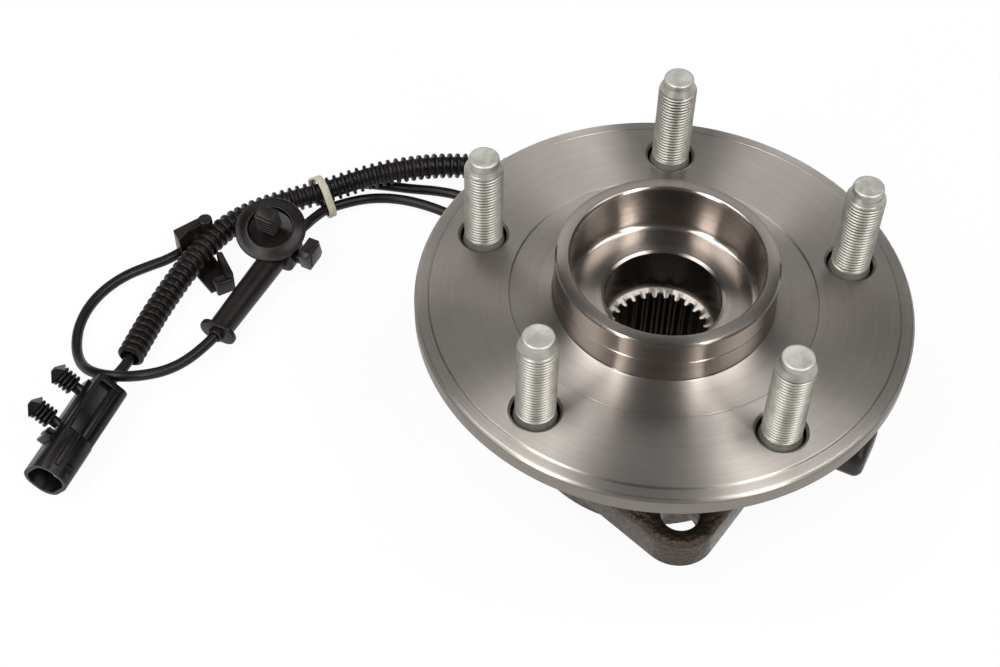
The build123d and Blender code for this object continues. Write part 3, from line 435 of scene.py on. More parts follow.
# %% [markdown]
# Turned steel is a metal whose highlights are stretched across the rings. The Principled
# surface does that with its anisotropy, once it is told which way the rings run: a tangent
# that circles the Z axis. The rings change the tone and the roughness a little, and a faint
# bump makes them catch the light.

# %% Turned steel
def ring_tangent(tree):
    """The direction round the Z axis at each point, in world space."""
    coords = add_node(tree, "ShaderNodeTexCoord")
    split = fed_node(tree, "ShaderNodeSeparateXYZ", Vector=coords.outputs["Object"])
    backwards = math_node(tree, "MULTIPLY", split.outputs["Y"], -1.0)
    turned = fed_node(tree, "ShaderNodeCombineXYZ", X=backwards, Y=split.outputs["X"])
    to_world = add_node(tree, "ShaderNodeVectorTransform", vector_type="VECTOR")
    to_world.convert_from, to_world.convert_to = "OBJECT", "WORLD"
    return feed(tree, to_world, Vector=turned.outputs[0]).outputs[0]


def turned_steel(name, dark, light, rough, anisotropy, bump=0.05):
    made, tree, surface = new_material(name)
    rings = place_group(tree, lathe_rings)
    marks = place_group(tree, handling)
    fine_part = math_node(tree, "MULTIPLY", rings.outputs["Rings"], 0.45)
    mixed = scaled(tree, rings.outputs["Bands"], 0.55, fine_part)
    tone = ramp(tree, mixed, [(0.25, dark), (0.75, light)])
    dulled = add_node(tree, "ShaderNodeMix", data_type="RGBA", blend_type="MULTIPLY")
    oil = ramp(tree, marks.outputs["Clouds"], [(0.3, grey(0.86)), (0.7, grey(1.0))])
    feed(tree, dulled, A=tone, B=oil, Factor=1.0)
    clouded = scaled(tree, marks.outputs["Clouds"], 0.08, rough - 0.06)
    roughness = scaled(tree, mixed, 0.04, clouded)
    groove = fed_node(
        tree, "ShaderNodeBump", Height=rings.outputs["Rings"], Strength=bump, Distance=0.00004
    )
    feed(tree, surface, Base_Color=dulled.outputs["Result"], Metallic=1.0, Roughness=roughness)
    feed(tree, surface, Anisotropic=anisotropy, Anisotropic_Rotation=0.25)
    feed(tree, surface, Tangent=ring_tangent(tree), Normal=groove.outputs["Normal"])
    return made


hub_steel = turned_steel(
    "hub_turned_steel", (0.45, 0.41, 0.378), (0.55, 0.51, 0.472), 0.36, 0.95, bump=0.02
)
# The pilot's copy is smoother, which is real, and darker, which is painted shade.
pilot_shade_steel = turned_steel(
    "pilot_painted_shade_steel", (0.33, 0.29, 0.26), (0.46, 0.415, 0.38), 0.235, 0.86, bump=0.015
)
# The bore's copy is near black: painted shade for the depth of the bore.
bore_shade_steel = turned_steel(
    "bore_painted_shade_steel", (0.085, 0.07, 0.06), (0.14, 0.12, 0.105), 0.25, 0.8, bump=0.02
)
# The rim's copy is darker as painted shade, in place of the dark floor its side would mirror.
rim_shade_steel = turned_steel("rim_painted_shade_steel", (0.22, 0.195, 0.175), (0.32, 0.29, 0.265), 0.42, 0.7)
# Near-black steel: painted shade for the deep spline teeth and the walls of the stud holes.
deep_shade_steel = turned_steel(
    "deep_painted_shade_steel", (0.03, 0.023, 0.018), (0.06, 0.047, 0.038), 0.5, 0.0
)
mouth_steel = turned_steel(
    "spline_mouth_steel", (0.30, 0.27, 0.245), (0.42, 0.385, 0.355), 0.42, 0.4
)
ring_steel = turned_steel("inner_ring_steel", (0.42, 0.40, 0.37), (0.60, 0.58, 0.55), 0.25, 0.5)
sheet_steel = turned_steel("pressed_sheet", (0.26, 0.25, 0.24), (0.42, 0.40, 0.38), 0.4, 0.3)

# %% [markdown]
# The outer ring is a forging under a film of oil: dark brown, with a coarse skin that glitters
# where the light grazes it. A noise makes the skin, a cell pattern makes its pits, and both go
# through one bump.


# %% Oiled forging
def oiled_forging(name):
    made, tree, surface = new_material(name)
    coords = add_node(tree, "ShaderNodeTexCoord")
    skin = add_node(tree, "ShaderNodeTexNoise")
    feed(tree, skin, Vector=coords.outputs["Object"], Scale=520.0, Detail=6.0, Roughness=0.62)
    pits = fed_node(tree, "ShaderNodeTexVoronoi", Vector=coords.outputs["Object"], Scale=640.0)
    marks = place_group(tree, handling, Cloud_size=40.0)
    tone = ramp(
        tree, marks.outputs["Clouds"], [(0.3, (0.036, 0.025, 0.018)), (0.72, (0.088, 0.065, 0.049))]
    )
    height = scaled(tree, pits.outputs["Distance"], 0.5, skin.outputs["Fac"])
    bump = fed_node(tree, "ShaderNodeBump", Height=height, Strength=0.85, Distance=0.0007)
    shine = ramp(tree, skin.outputs["Fac"], [(0.35, grey(0.26)), (0.7, grey(0.46))])
    feed(tree, surface, Base_Color=tone, Metallic=0.75)
    feed(tree, surface, Roughness=shine, Normal=bump.outputs["Normal"])
    return made


forged_iron = oiled_forging("oiled_forging")


# %% [markdown]
# Zinc plating is a pale, slightly green grey that is more satin than mirror. It is a metal
# with a milky film, so the metal share stays below one and the roughness is fairly high. The
# ends of the studs are paler and mottled.

# %% Zinc plating
def zinc_plating(name, dark, light, rough):
    made, tree, surface = new_material(name)
    marks = place_group(tree, handling, Cloud_size=170.0, Speck_size=1500.0)
    tone = ramp(tree, marks.outputs["Clouds"], [(0.32, dark), (0.68, light)])
    shine = scaled(tree, marks.outputs["Clouds"], 0.2, rough - 0.1)
    bump = fed_node(
        tree, "ShaderNodeBump", Height=marks.outputs["Clouds"], Strength=0.25, Distance=0.0002
    )
    feed(tree, surface, Base_Color=tone, Metallic=0.72)
    feed(tree, surface, Roughness=shine, Normal=bump.outputs["Normal"])
    return made


stud_zinc = zinc_plating("stud_zinc", (0.33, 0.315, 0.28), (0.46, 0.445, 0.40), 0.42)
screw_zinc = zinc_plating("screw_zinc", (0.50, 0.46, 0.36), (0.68, 0.63, 0.52), 0.35)


# %% [markdown]
# The harness is all near-black, but not one black: a satin rubber lead, a slightly browner
# ribbed conduit, and harder moulded clips and connector. They differ in shine and in grain
# far more than in colour. Only the tie is pale.

# %% Blacks and nylon
def moulding(name, dark, light, rough, grain_size=1800.0, bump=0.12, specular=0.28):
    made, tree, surface = new_material(name)
    pebble = place_group(tree, grain, Size=grain_size)
    marks = place_group(tree, handling, Cloud_size=70.0, Speck_size=1100.0)
    tone = ramp(tree, pebble.outputs["Tone"], [(0.35, dark), (0.7, light)])
    dusted = add_node(tree, "ShaderNodeMix", data_type="RGBA")
    dust = math_node(tree, "MULTIPLY", marks.outputs["Specks"], 0.06)
    feed(tree, dusted, Factor=dust, A=tone, B=(0.25, 0.23, 0.21, 1))
    shine = scaled(tree, pebble.outputs["Tone"], 0.2, rough - 0.1)
    bumps = fed_node(
        tree, "ShaderNodeBump", Height=pebble.outputs["Height"], Strength=bump, Distance=0.0002
    )
    feed(tree, surface, Base_Color=dusted.outputs["Result"], Roughness=shine)
    feed(tree, surface, Normal=bumps.outputs["Normal"], Specular_IOR_Level=specular)
    return made


lead_rubber = moulding("lead_jacket", (0.0035, 0.0028, 0.0026), (0.0075, 0.006, 0.0055), 0.36)
sleeve_rubber = moulding("sleeve_rubber", (0.0055, 0.004, 0.0035), (0.012, 0.009, 0.008), 0.38)
conduit_nylon = moulding("conduit_plastic", (0.005, 0.0036, 0.0032), (0.011, 0.008, 0.007), 0.36)
clip_nylon = moulding("clip_plastic", (0.0055, 0.004, 0.0032), (0.013, 0.0095, 0.008), 0.33)
connector_nylon = moulding(
    "connector_plastic", (0.003, 0.0024, 0.002), (0.008, 0.0062, 0.0055), 0.34
)
sensor_nylon = moulding("sensor_plastic", (0.010, 0.0065, 0.0045), (0.024, 0.017, 0.013), 0.42)
seal_rubber = moulding("seal_rubber", (0.004, 0.004, 0.004), (0.009, 0.0085, 0.008), 0.5)
tie_nylon = moulding("tie_plastic", (0.42, 0.38, 0.30), (0.60, 0.56, 0.48), 0.35, 900.0, 0.08, 0.4)
cage_nylon = moulding("cage_plastic", (0.14, 0.085, 0.04), (0.22, 0.14, 0.075), 0.4)
print("materials:", len(bpy.data.materials))

# %% [markdown]
# Most nodes of the frame already have the right shape. They arrive as loose flat triangles,
# which would show as facets on polished metal. A copy of each is merged and shaded smooth up
# to a crease angle, and stands for its node, which stays untouched underneath.


# %% Dressing a node
def dress(node, body, material, crease=30, bevel=0.0):
    """A smooth-shaded copy of a frame node, in a material of its own, in the node's place."""
    start_clean()
    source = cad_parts[node]
    source.hide_set(False)
    source.select_set(True)
    bpy.context.view_layer.objects.active = source
    bpy.ops.object.duplicate()
    piece = rename(node + "_finish")
    piece.parent = None
    bpy.ops.object.mode_set(mode="EDIT")
    merge_close(0.0005)
    bpy.ops.object.mode_set(mode="OBJECT")
    if bevel:
        break_edges(piece, bevel, 2, 40)
    finish_piece(piece, body, material, crease)
    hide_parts(node)
    return piece


dress("inner_ring", "hub", ring_steel, 12)
dress("outer_ring", "knuckle_side", forged_iron, 28)
ball_steel = turned_steel("ball_steel", (0.62, 0.61, 0.60), (0.74, 0.73, 0.72), 0.2, 0.0, bump=0.0)
for side in ("outboard", "inboard"):
    dress(side + "_seal_case", "knuckle_side", sheet_steel, 12)
    dress(side + "_seal_lip", "knuckle_side", seal_rubber)
    dress(side + "_slinger", "hub", sheet_steel, 12)
    dress(side + "_balls", side + "_ball_set", ball_steel)
    dress(side + "_cage", side + "_ball_set", cage_nylon)
dress("tone_ring", "hub", sheet_steel, 8)
dress("sensor_body", "knuckle_side", sensor_nylon)
dress("sensor_oring", "knuckle_side", seal_rubber)
dress("sensor_screw", "knuckle_side", screw_zinc)

# %% [markdown]
# The hub itself is what the eye goes to, and polished steel forgives nothing, so it is turned
# afresh from its outline in fine steps, with the small broken edges that catch the lamps. The
# stud holes are bored with a cutter that has their chamfer, by the Boolean modifier.

# %% Hub forging
pocket_corner = [
    (28.4 + 2.5 * sin(radians(a)), 1.0 - 2.5 * cos(radians(a))) for a in range(0, 91, 15)
]
race_curve = [
    (32.5 - 5.636 * cos(radians(a)), -26.0 + 5.636 * sin(radians(a)))
    for a in (66.4, 55, 44, 33, 22, 11, 0, -11, -22.5)
]
hub_outline = [
    (19.0, -68.0), (19.0, -2.3), (19.15, -2.0), (20.05, -1.6), (20.3, -1.5),
    *pocket_corner,
    (30.9, 15.9), (30.95, 16.0), (31.5, 16.55), (31.6, 16.6),
    (34.95, 16.6), (35.05, 16.57), (35.65, 16.0), (35.7, 15.9),
    (35.7, 8.6), (35.4, 8.33), (35.4, 8.27), (35.7, 8.0),
    (35.7, 0.8), (35.79, 0.34), (36.05, -0.05), (36.44, -0.31), (36.9, -0.4),
    (49.2, -0.4), (49.45, -0.4), (49.55, -0.55), (49.8, -0.55), (50.2, -0.04), (50.3, 0.0),
    (50.55, 0.0), (75.4, 0.0), (75.65, 0.0), (75.75, -0.04), (76.15, -0.55), (76.4, -0.55),
    (76.5, -0.4), (76.75, -0.4), (79.15, -0.4), (79.4, -0.4), (79.75, -0.5), (80.35, -1.1),
    (80.5, -1.45),
    (80.5, -6.4), (80.35, -6.85), (79.9, -7.0),
    (75.6, -7.0), (75.0, -7.6), (75.0, -11.4), (74.4, -12.0),
    (43.0, -12.0), (41.8, -13.2), (31.6, -13.2), (31.0, -13.8),
    (31.0, -20.44), (30.24, -20.79), *race_curve,
    (27.294, -44.0), (21.0, -44.0), (21.0, -65.4), (26.0, -65.4), (26.0, -66.8), (24.8, -68.0),
    (19.0, -68.0),
]
hub = lathe("hub_forging", hub_outline, 180)

# %% [markdown]
# The five holes have one cutter each, all from one outline, and the cutters are joined before
# they cut. Then the steel is dealt out by place, each zone a darker copy as painted shade: the
# rim for the dark floor it would mirror, the pilot with its pocket, and the bore and the walls of
# the stud holes for the shade deep inside them.

# %% Stud holes and the hub's steel, with painted shade by place
STUDS, STUD_CIRCLE_RADIUS, FIRST_STUD = 5, 63.5, 80.0
stud_turns = [radians(FIRST_STUD + 360 / STUDS * number) for number in range(STUDS)]
stud_circle = STUD_CIRCLE_RADIUS * MM
stud_spots = [Vector((stud_circle * cos(a), stud_circle * sin(a), 0)) for a in stud_turns]
cutter_outline = [(0, -16), (7.17, -16), (7.17, -4.0), (7.6, -4.0), (7.6, -0.95), (7.75, -0.7),
                  (8.42, -0.12), (8.64, 0.1), (8.64, 4), (0, 4)]
cutters = []
for number, spot in enumerate(stud_spots):
    cutter = lathe(f"hole_cutter_{number}", cutter_outline, 56)
    cutter.location = spot
    apply_all(cutter)
    cutters.append(cutter)
hole_cutter = join("hole_cutters", cutters)
modify(hub, "stud_holes", "BOOLEAN", operation="DIFFERENCE", solver="EXACT", object=hole_cutter)
finish_piece(hub, "hub", hub_steel, 22)
for zone in (rim_shade_steel, pilot_shade_steel, bore_shade_steel, deep_shade_steel):
    hub.data.materials.append(zone)
RIM_FROM, PILOT_TO, BORE_TO, HOLE_TO = 74.0, 36.2, 19.3, 8.0
FACE_BACK, JUST_UNDER_FACE = -12.0, -0.3
# Index 4 is the stud hole walls, 1 the rim, 2 the pilot and its pocket, 3 the bore: each a darker
# copy of the steel, as painted shade.
for face in hub.data.polygons:
    reach, height = reach_of(face.center), face.center.z / MM
    to_hole = min(reach_of(face.center - spot) for spot in stud_spots)
    if FACE_BACK < height < JUST_UNDER_FACE and to_hole < HOLE_TO:
        face.material_index = 4
    elif reach > RIM_FROM and height < -1.2:
        face.material_index = 1
    elif BORE_TO < reach < PILOT_TO and height > -2.0:
        face.material_index = 2
    elif reach <= BORE_TO:
        face.material_index = 3
bpy.data.objects.remove(hole_cutter)
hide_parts("wheel_hub")

# %% [markdown]
# The spline that the drive shaft slides into has twenty-seven teeth. A ring is turned with ten
# steps to a tooth, and its inner wall is then pushed in and out: two steps of tooth, three of
# flank, two of space, three of flank. The mouth is left as a bright cone, and the teeth below it
# take a near-black copy of the steel, as painted shade for the depth of the bore.

# %% Spline
SPLINE_TEETH, TOOTH_STEPS = 27, 10
spline = lathe(
    "hub_spline",
    [(18.97, -68.0), (18.97, -18.5), (18.4, -18.5), (16.9, -19.4), (16.2, -20.2), (16.2, -67.4),
     (16.8, -68.0), (18.97, -68.0)],
    SPLINE_TEETH * TOOTH_STEPS,
)
tooth_radius = [15.4, 15.35, 15.4, 15.95, 16.55, 17.0, 17.05, 17.0, 16.55, 15.95]
OUTER_WALL, INNER_WALL, MOUTH_RADIUS = 17.2, 16.5, 16.8
TOOTH_PHASE = 6  # steps from the X axis to the middle of a tooth
for vertex in spline.data.vertices:
    reach = reach_of(vertex.co)
    if reach > OUTER_WALL:
        continue
    turn = atan2(vertex.co.y, vertex.co.x) / (2 * pi) * SPLINE_TEETH * TOOTH_STEPS
    wanted = tooth_radius[(round(turn) + TOOTH_PHASE) % TOOTH_STEPS]
    if reach > INNER_WALL and vertex.co.z > -50 * MM:
        wanted = max(wanted, MOUTH_RADIUS)
    set_reach(vertex, wanted)
finish_piece(spline, "hub", mouth_steel, 25)
# The teeth below the mouth take the near-black steel as painted shade.
spline.data.materials.append(deep_shade_steel)
for face in spline.data.polygons:
    face.material_index = 1 if face.center.z < -20.0 * MM else 0

# %% [markdown]
# A wheel stud is pressed in from behind and pulled up to its head. From the front it is a
# plain collar in a dark relief, about two dozen turns of a fine rolled thread, a short cone,
# and a plain end that guides the nut. The body of the stud is turned on a lathe outline.

# %% Stud body
STUD_RADIUS = 6.35
stud_outline = [
    (0, -15.5), (8.4, -15.5), (10.0, -13.9), (10.0, -12.0), (7.15, -12.0), (7.15, -4.0),
    (7.05, -3.9), (7.05, -2.9), (6.95, -2.6), (6.42, -0.3),
    (STUD_RADIUS, -0.05), (STUD_RADIUS, 1.3), (5.7, 1.7),
    (5.7, 31.2), (5.5, 31.9), (5.2, 32.6), (5.03, 32.95), (4.95, 33.2),
    (5.0, 34.8), (4.86, 35.25), (4.55, 35.52), (4.1, 35.55), (3.4, 35.4), (0, 35.38),
]
stud_body = lathe("stud_body", stud_outline, 48)
print("stud body", len(stud_body.data.vertices), "vertices")

# %% [markdown]
# A stack of rings would pass for a thread from afar, but a true one climbs. So one tooth of
# profile is swept up a helix with the Screw modifier, and its crests are then drawn in where
# the stud tapers.

# %% Stud thread
THREAD_PITCH, THREAD_TURNS, THREAD_START = 1.27, 25, 1.0
CONE_FROM, CONE_SLOPE = 30.6, 0.5  # where the thread starts to run out, and how fast
thread_tooth = [(5.72, 0.0), (6.02, 0.22), (6.27, 0.41), (STUD_RADIUS, 0.50),
                (STUD_RADIUS, 0.77), (6.27, 0.86), (6.02, 1.05), (5.72, THREAD_PITCH)]
thread = string_of_points("stud_thread", thread_tooth, THREAD_START)
bpy.ops.object.mode_set(mode="OBJECT")
modify(thread, "helix", "SCREW", axis="Z", angle=2 * pi, screw_offset=THREAD_PITCH * MM,
       iterations=THREAD_TURNS, steps=40, render_steps=40, use_merge_vertices=True,
       merge_threshold=0.01 * MM, use_normal_flip=False)
apply_all(thread)
bpy.ops.object.mode_set(mode="EDIT")
merge_close(0.005)
bpy.ops.object.mode_set(mode="OBJECT")
for vertex in thread.data.vertices:
    limit = STUD_RADIUS - max(0.0, vertex.co.z / MM - CONE_FROM) * CONE_SLOPE
    if reach_of(vertex.co) > limit:
        set_reach(vertex, limit)
outward = sum(
    face.normal.dot(Vector((face.center.x, face.center.y, 0))) for face in thread.data.polygons
)
if outward < 0:
    thread.data.flip_normals()
print("thread", len(thread.data.polygons), "faces, outward" if outward > 0 else "faces, flipped")

# %% [markdown]
# One stud is made and copied, each copy with its own mesh. The copies are turned by different
# amounts, as pressed-in studs are, so that their threads don't all start on the same side.

# %% Five studs
stud = join("stud", [stud_body, thread])
bpy.ops.object.shade_smooth_by_angle(angle=radians(40))
stud_end_zinc = zinc_plating("stud_end_zinc", (0.40, 0.39, 0.34), (0.66, 0.65, 0.60), 0.5)
# The thread roots take a near-black zinc: painted shade in the grooves of the thread.
thread_root_painted_shade = zinc_plating("thread_root_painted_shade", (0.06, 0.056, 0.048), (0.11, 0.10, 0.088), 0.5)
stud.data.materials.clear()
for zone in (stud_zinc, stud_end_zinc, thread_root_painted_shade):
    stud.data.materials.append(zone)
# Index 1 is the paler stud ends, index 2 the painted shade in the thread roots.
END_FROM, ROOT_FROM, ROOT_TO = 35.2, 1.2, 30.8
for face in stud.data.polygons:
    height = face.center.z / MM
    if height > END_FROM:
        face.material_index = 1
    elif 5.5 < reach_of(face.center) < 6.0 and ROOT_FROM < height < ROOT_TO:
        face.material_index = 2
studs = [stud]
for number in range(1, STUDS):
    only(stud)
    bpy.ops.object.duplicate()
    studs.append(rename(f"stud_{number}"))
for number, one in enumerate(studs):
    one.rotation_euler.z = stud_turns[number] + number
    one.location = stud_spots[number]
    apply_all(one)
stud_set = join("wheel_stud_set", studs)
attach(stud_set, "hub")
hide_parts("wheel_studs")
start_clean()
print("studs:", len(stud_set.data.polygons), "faces")

# %% [markdown]
# The sensor's cable is one lead of about a metre. It leaves the sensor behind the hub, runs
# round to the conduit, is moulded into a sleeve, loops back through a clip, goes behind the
# hub once more, and comes back inside the conduit to its connector. A cord's line is a smooth
# NURBS curve through a few control points, and a round bevel gives it its thickness.


# %% Helpers for the cords
LEAD_RADIUS = 1.95


def route_curve(name, points, radius=0.0):
    """A NURBS curve with the points, in millimetres, as its control points."""
    line = bpy.data.curves.new(name, "CURVE")
    line.dimensions = "3D"
    spline = line.splines.new("NURBS")
    spline.points.add(len(points) - 1)
    for point, place in zip(spline.points, points):
        point.co = (place[0] * MM, place[1] * MM, place[2] * MM, 1)
    spline.order_u = 3
    spline.use_endpoint_u = True
    line.resolution_u = 12
    line.bevel_depth = radius * MM
    line.bevel_resolution = 5
    piece = bpy.data.objects.new(name, line)
    bpy.context.collection.objects.link(piece)
    return piece


def centreline(name, points):
    """The points that a route's NURBS curve passes, read from the curve itself, in metres."""
    bare = route_curve(name, points)
    mesh = bpy.data.meshes.new_from_object(bare)
    read = [vertex.co.copy() for vertex in mesh.vertices]
    bpy.data.meshes.remove(mesh)
    bpy.data.objects.remove(bare)
    return read


def run_length(read):
    return sum((b - a).length for a, b in zip(read, read[1:]))


def lay_lead(name, route):
    """A rubber lead on its route, and its length as measured, in metres."""
    lead = route_curve(name, route, LEAD_RADIUS)
    lead.data.materials.append(lead_rubber)
    length = run_length(centreline("measure", route))
    print(name, round(length / MM, 1), "mm")
    return lead, length


# %% Sensor lead, from the sensor to the sleeve
LAID = -66.25  # the height of a lead that lies on the floor, in millimetres
sensor_lead_route = [
    (66.49, -17.49, -39.5), (70.61, -10.63, -39.5), (75.2, 2.5, -43.0), (77.2, 14.5, -48.5),
    (74.4, 26.5, -55.0), (67.2, 37.0, -61.5), (56.0, 45.6, LAID), (41.79, 53.06, LAID),
    (24.31, 58.44, LAID), (5.77, 60.4, LAID), (-11.8, 62.84, LAID), (-27.41, 69.18, LAID),
    (-40.59, 78.94, LAID), (-51.33, 90.65, LAID), (-61.57, 100.9, LAID), (-73.29, 108.22, LAID),
    (-84.51, 112.32, LAID), (-94.76, 112.9, -66.05), (-103.15, 110.46, -65.27),
    (-111.64, 106.46, -64.3), (-116.23, 100.8, -62.93), (-119.6, 95.16, -61.08),
    (-127.2, 86.21, -61.07),
]
sensor_lead, sensor_lead_length = lay_lead("sensor_lead_cord", sensor_lead_route)
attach(sensor_lead, "knuckle_side")
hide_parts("sensor_lead")

# %% [markdown]
# Past the sleeve the lead is one run in three stretches: the loop in the open, the part inside
# the conduit, and the short tail into the connector. They share their end points, so the run
# is unbroken, and the middle stretch serves the conduit as well.

# %% Harness lead, from the sleeve through clip and conduit to the connector
loop_route = [
    (-152.65, 42.39, -61.07), (-158.43, 35.06, -61.08), (-167.76, 27.7, -60.39),
    (-178.2, 23.02, -57.17), (-187.8, 23.1, -56.3), (-195.67, 28.29, -59.6),
    (-200.55, 36.09, -63.91), (-203.09, 45.27, LAID), (-202.99, 55.03, LAID),
    (-199.97, 64.69, LAID), (-194.6, 72.79, LAID), (-187.08, 79.33, LAID),
    (-178.59, 83.33, LAID), (-170.49, 86.65, LAID), (-155.46, 98.95, LAID),
    (-147.3, 106.9, LAID), (-136.4, 113.2, LAID), (-122.7, 116.7, -65.5), (-109.7, 119.7, -64.9),
    (-97.68, 120.8, -65.66), (-87.44, 119.34, LAID), (-78.17, 117.0, LAID),
    (-68.89, 115.44, LAID), (-59.43, 112.42, LAID), (-49.86, 105.78, LAID),
    (-40.59, 96.51, LAID), (-30.83, 87.04, LAID), (-19.61, 79.23, LAID), (-6.92, 73.38, LAID),
    (3.82, 70.84, LAID), (14.65, 73.77, LAID), (22.65, 81.77, LAID), (25.58, 92.6, LAID),
    (22.65, 103.44, LAID), (14.65, 111.44, LAID), (3.82, 114.37, LAID), (-8.38, 114.46, -65.66),
    (-20.09, 115.19, -64.01), (-31.32, 118.47, -63.32),
]
conduit_route = [
    (-31.32, 118.47, -63.32), (-44.01, 122.17, -62.54), (-56.21, 123.35, -61.17),
    (-67.92, 122.17, -59.22), (-79.63, 119.64, -57.66), (-91.34, 117.39, -57.66),
    (-102.56, 115.34, -59.61), (-113.01, 113.2, -61.66), (-122.77, 110.85, -62.2),
    (-131.84, 108.12, -62.4), (-140.92, 103.73, -62.1), (-150.0, 96.6, -61.7),
    (-157.8, 86.94, -61.56), (-164.64, 75.91, -61.95), (-171.08, 64.4, -62.93),
    (-176.93, 52.1, -63.32), (-182.69, 35.7, -62.3),
]
tail_route = [
    (-182.69, 35.7, -62.3), (-184.1, 31.68, -62.05), (-188.878, 24.373, -61.432),
    (-190.344, 21.305, -61.432),
]
harness_route = loop_route + conduit_route[1:] + tail_route[1:]
harness_lead, harness_length = lay_lead("harness_lead_cord", harness_route)
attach(harness_lead, "knuckle_side")
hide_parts("loop_lead", "tail_lead")

# %% [markdown]
# The conduit is a corrugated tube: one rib, repeated. The rib is turned on the lathe helper,
# an Array modifier lays the ribs end to end, and a Curve modifier bends the straight tube
# along the same NURBS line as the lead inside it, so it bends as the real one does, with its
# ribs opening on the outside of a bend.

# %% Conduit
CONDUIT_RADIUS, RIB_PITCH = 4.88, 3.03
conduit_line = centreline("measure", conduit_route)
conduit_length = run_length(conduit_line)
rib_count = int(conduit_length / MM / RIB_PITCH)
rib_pitch = conduit_length / MM / rib_count
rib_outline = [
    (3.55, 0.0), (3.58, 0.58), (3.85, 0.76), (4.6, 0.9), (4.84, 1.06), (4.9, 1.3),
    (4.9, rib_pitch - 1.3), (4.84, rib_pitch - 1.06), (4.6, rib_pitch - 0.9),
    (3.85, rib_pitch - 0.76), (3.58, rib_pitch - 0.58), (3.55, rib_pitch),
]
conduit = lathe("conduit_tube", rib_outline, 28)
stand(conduit, (0, 0, 0), (1, 0, 0))
bend_line = route_curve("bend_line", conduit_route)
modify(conduit, "ribs", "ARRAY", count=rib_count, use_merge_vertices=True,
       merge_threshold=0.02 * MM)
modify(conduit, "bend", "CURVE", object=bend_line, deform_axis="POS_X")
finish_piece(conduit, "knuckle_side", conduit_nylon, 50)
bpy.data.objects.remove(bend_line)
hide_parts("conduit")
print("conduit", round(conduit_length * 1000, 1), "mm,", rib_count, "ribs")

# %% [markdown]
# The moulded pieces of the harness are small blocks, so each is built the way its tool was cut:
# a flat outline, pushed up to a height, with its edges broken by a bevel. A rounded rectangle
# serves for most of them. Each is modelled about Z and then stood up in its own place.


# %% Helpers for mouldings
def rounded(width, height, corner, steps=5):
    """The outline of a rectangle with round corners, about its middle, in millimetres."""
    points = []
    for side_x, side_y, first in ((1, 1, 0), (-1, 1, 90), (-1, -1, 180), (1, -1, 270)):
        middle_x, middle_y = side_x * (width / 2 - corner), side_y * (height / 2 - corner)
        for step in range(steps + 1):
            angle = radians(first + 90 * step / steps)
            points.append((middle_x + corner * cos(angle), middle_y + corner * sin(angle)))
    return points


def shifted(outline, dx, dy):
    return [(x + dx, y + dy) for x, y in outline]


def prism(name, outline, low, high, bevel=0.0, fill="NGON"):
    """A block, or an open band, on a plan outline in millimetres, between two heights."""
    start_clean()
    bpy.ops.mesh.primitive_circle_add(vertices=len(outline), radius=MM, fill_type=fill)
    piece = rename(name)
    for vertex, (x, y) in zip(piece.data.vertices, outline):
        vertex.co = (x * MM, y * MM, low * MM)
    bpy.ops.object.mode_set(mode="EDIT")
    bpy.ops.mesh.select_all(action="SELECT")
    rise = (0, 0, (high - low) * MM)
    bpy.ops.mesh.extrude_region_move(TRANSFORM_OT_translate={"value": rise})
    bpy.ops.mesh.select_all(action="SELECT")
    bpy.ops.mesh.normals_make_consistent(inside=False)
    bpy.ops.object.mode_set(mode="OBJECT")
    if bevel:
        break_edges(piece, bevel, 3, 35)
        apply_all(piece)
    return piece


def moulded(name, parts, material, node, smooth=30):
    """Joins the parts of a moulding and puts it in its node's place, if it has one."""
    piece = join(name, parts)
    finish_piece(piece, "knuckle_side", material, smooth)
    if node:
        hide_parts(node)
    return piece


# %% [markdown]
# The sleeve is a long rubber cone over the lead, wider where the lead comes in, with a stop
# wing and a short nipple at its far end. The cone is turned, and the wing is a flat block.

# %% Sleeve
sleeve_start = Vector((-127.2, 86.21, -61.07))
sleeve_end = Vector((-152.65, 42.39, -61.07))
sleeve_axis = (sleeve_end - sleeve_start).normalized()
sleeve_across = Vector((-sleeve_axis.y, sleeve_axis.x, 0))
SLEEVE_LENGTH, WING_PLACE = 50.67, 46.96
sleeve_cone = lathe(
    "sleeve_cone",
    [(2.2, 0.0), (4.8, 0.0), (5.12, 0.12), (5.25, 0.45), (5.0, 18.0), (4.75, 32.0), (4.55, 45.6),
     (4.6, WING_PLACE + 0.3), (2.9, WING_PLACE + 0.3), (2.93, 50.2), (2.7, 50.6),
     (2.2, SLEEVE_LENGTH), (2.0, 50.3), (2.2, 0.0)],
    48,
)
sleeve_wing = prism("sleeve_wing", rounded(14.4, 9.2, 4.55, 9), WING_PLACE, WING_PLACE + 1.76, 0.4)
for part in (sleeve_cone, sleeve_wing):
    stand(part, sleeve_start, sleeve_axis, sleeve_across)
sleeve = moulded("sleeve", [sleeve_cone, sleeve_wing], sleeve_rubber, "lead_sleeve")

# %% [markdown]
# A saddle grips the first part of the sleeve. A neck on its side carries a wedge of an anchor
# that slides on a bracket.

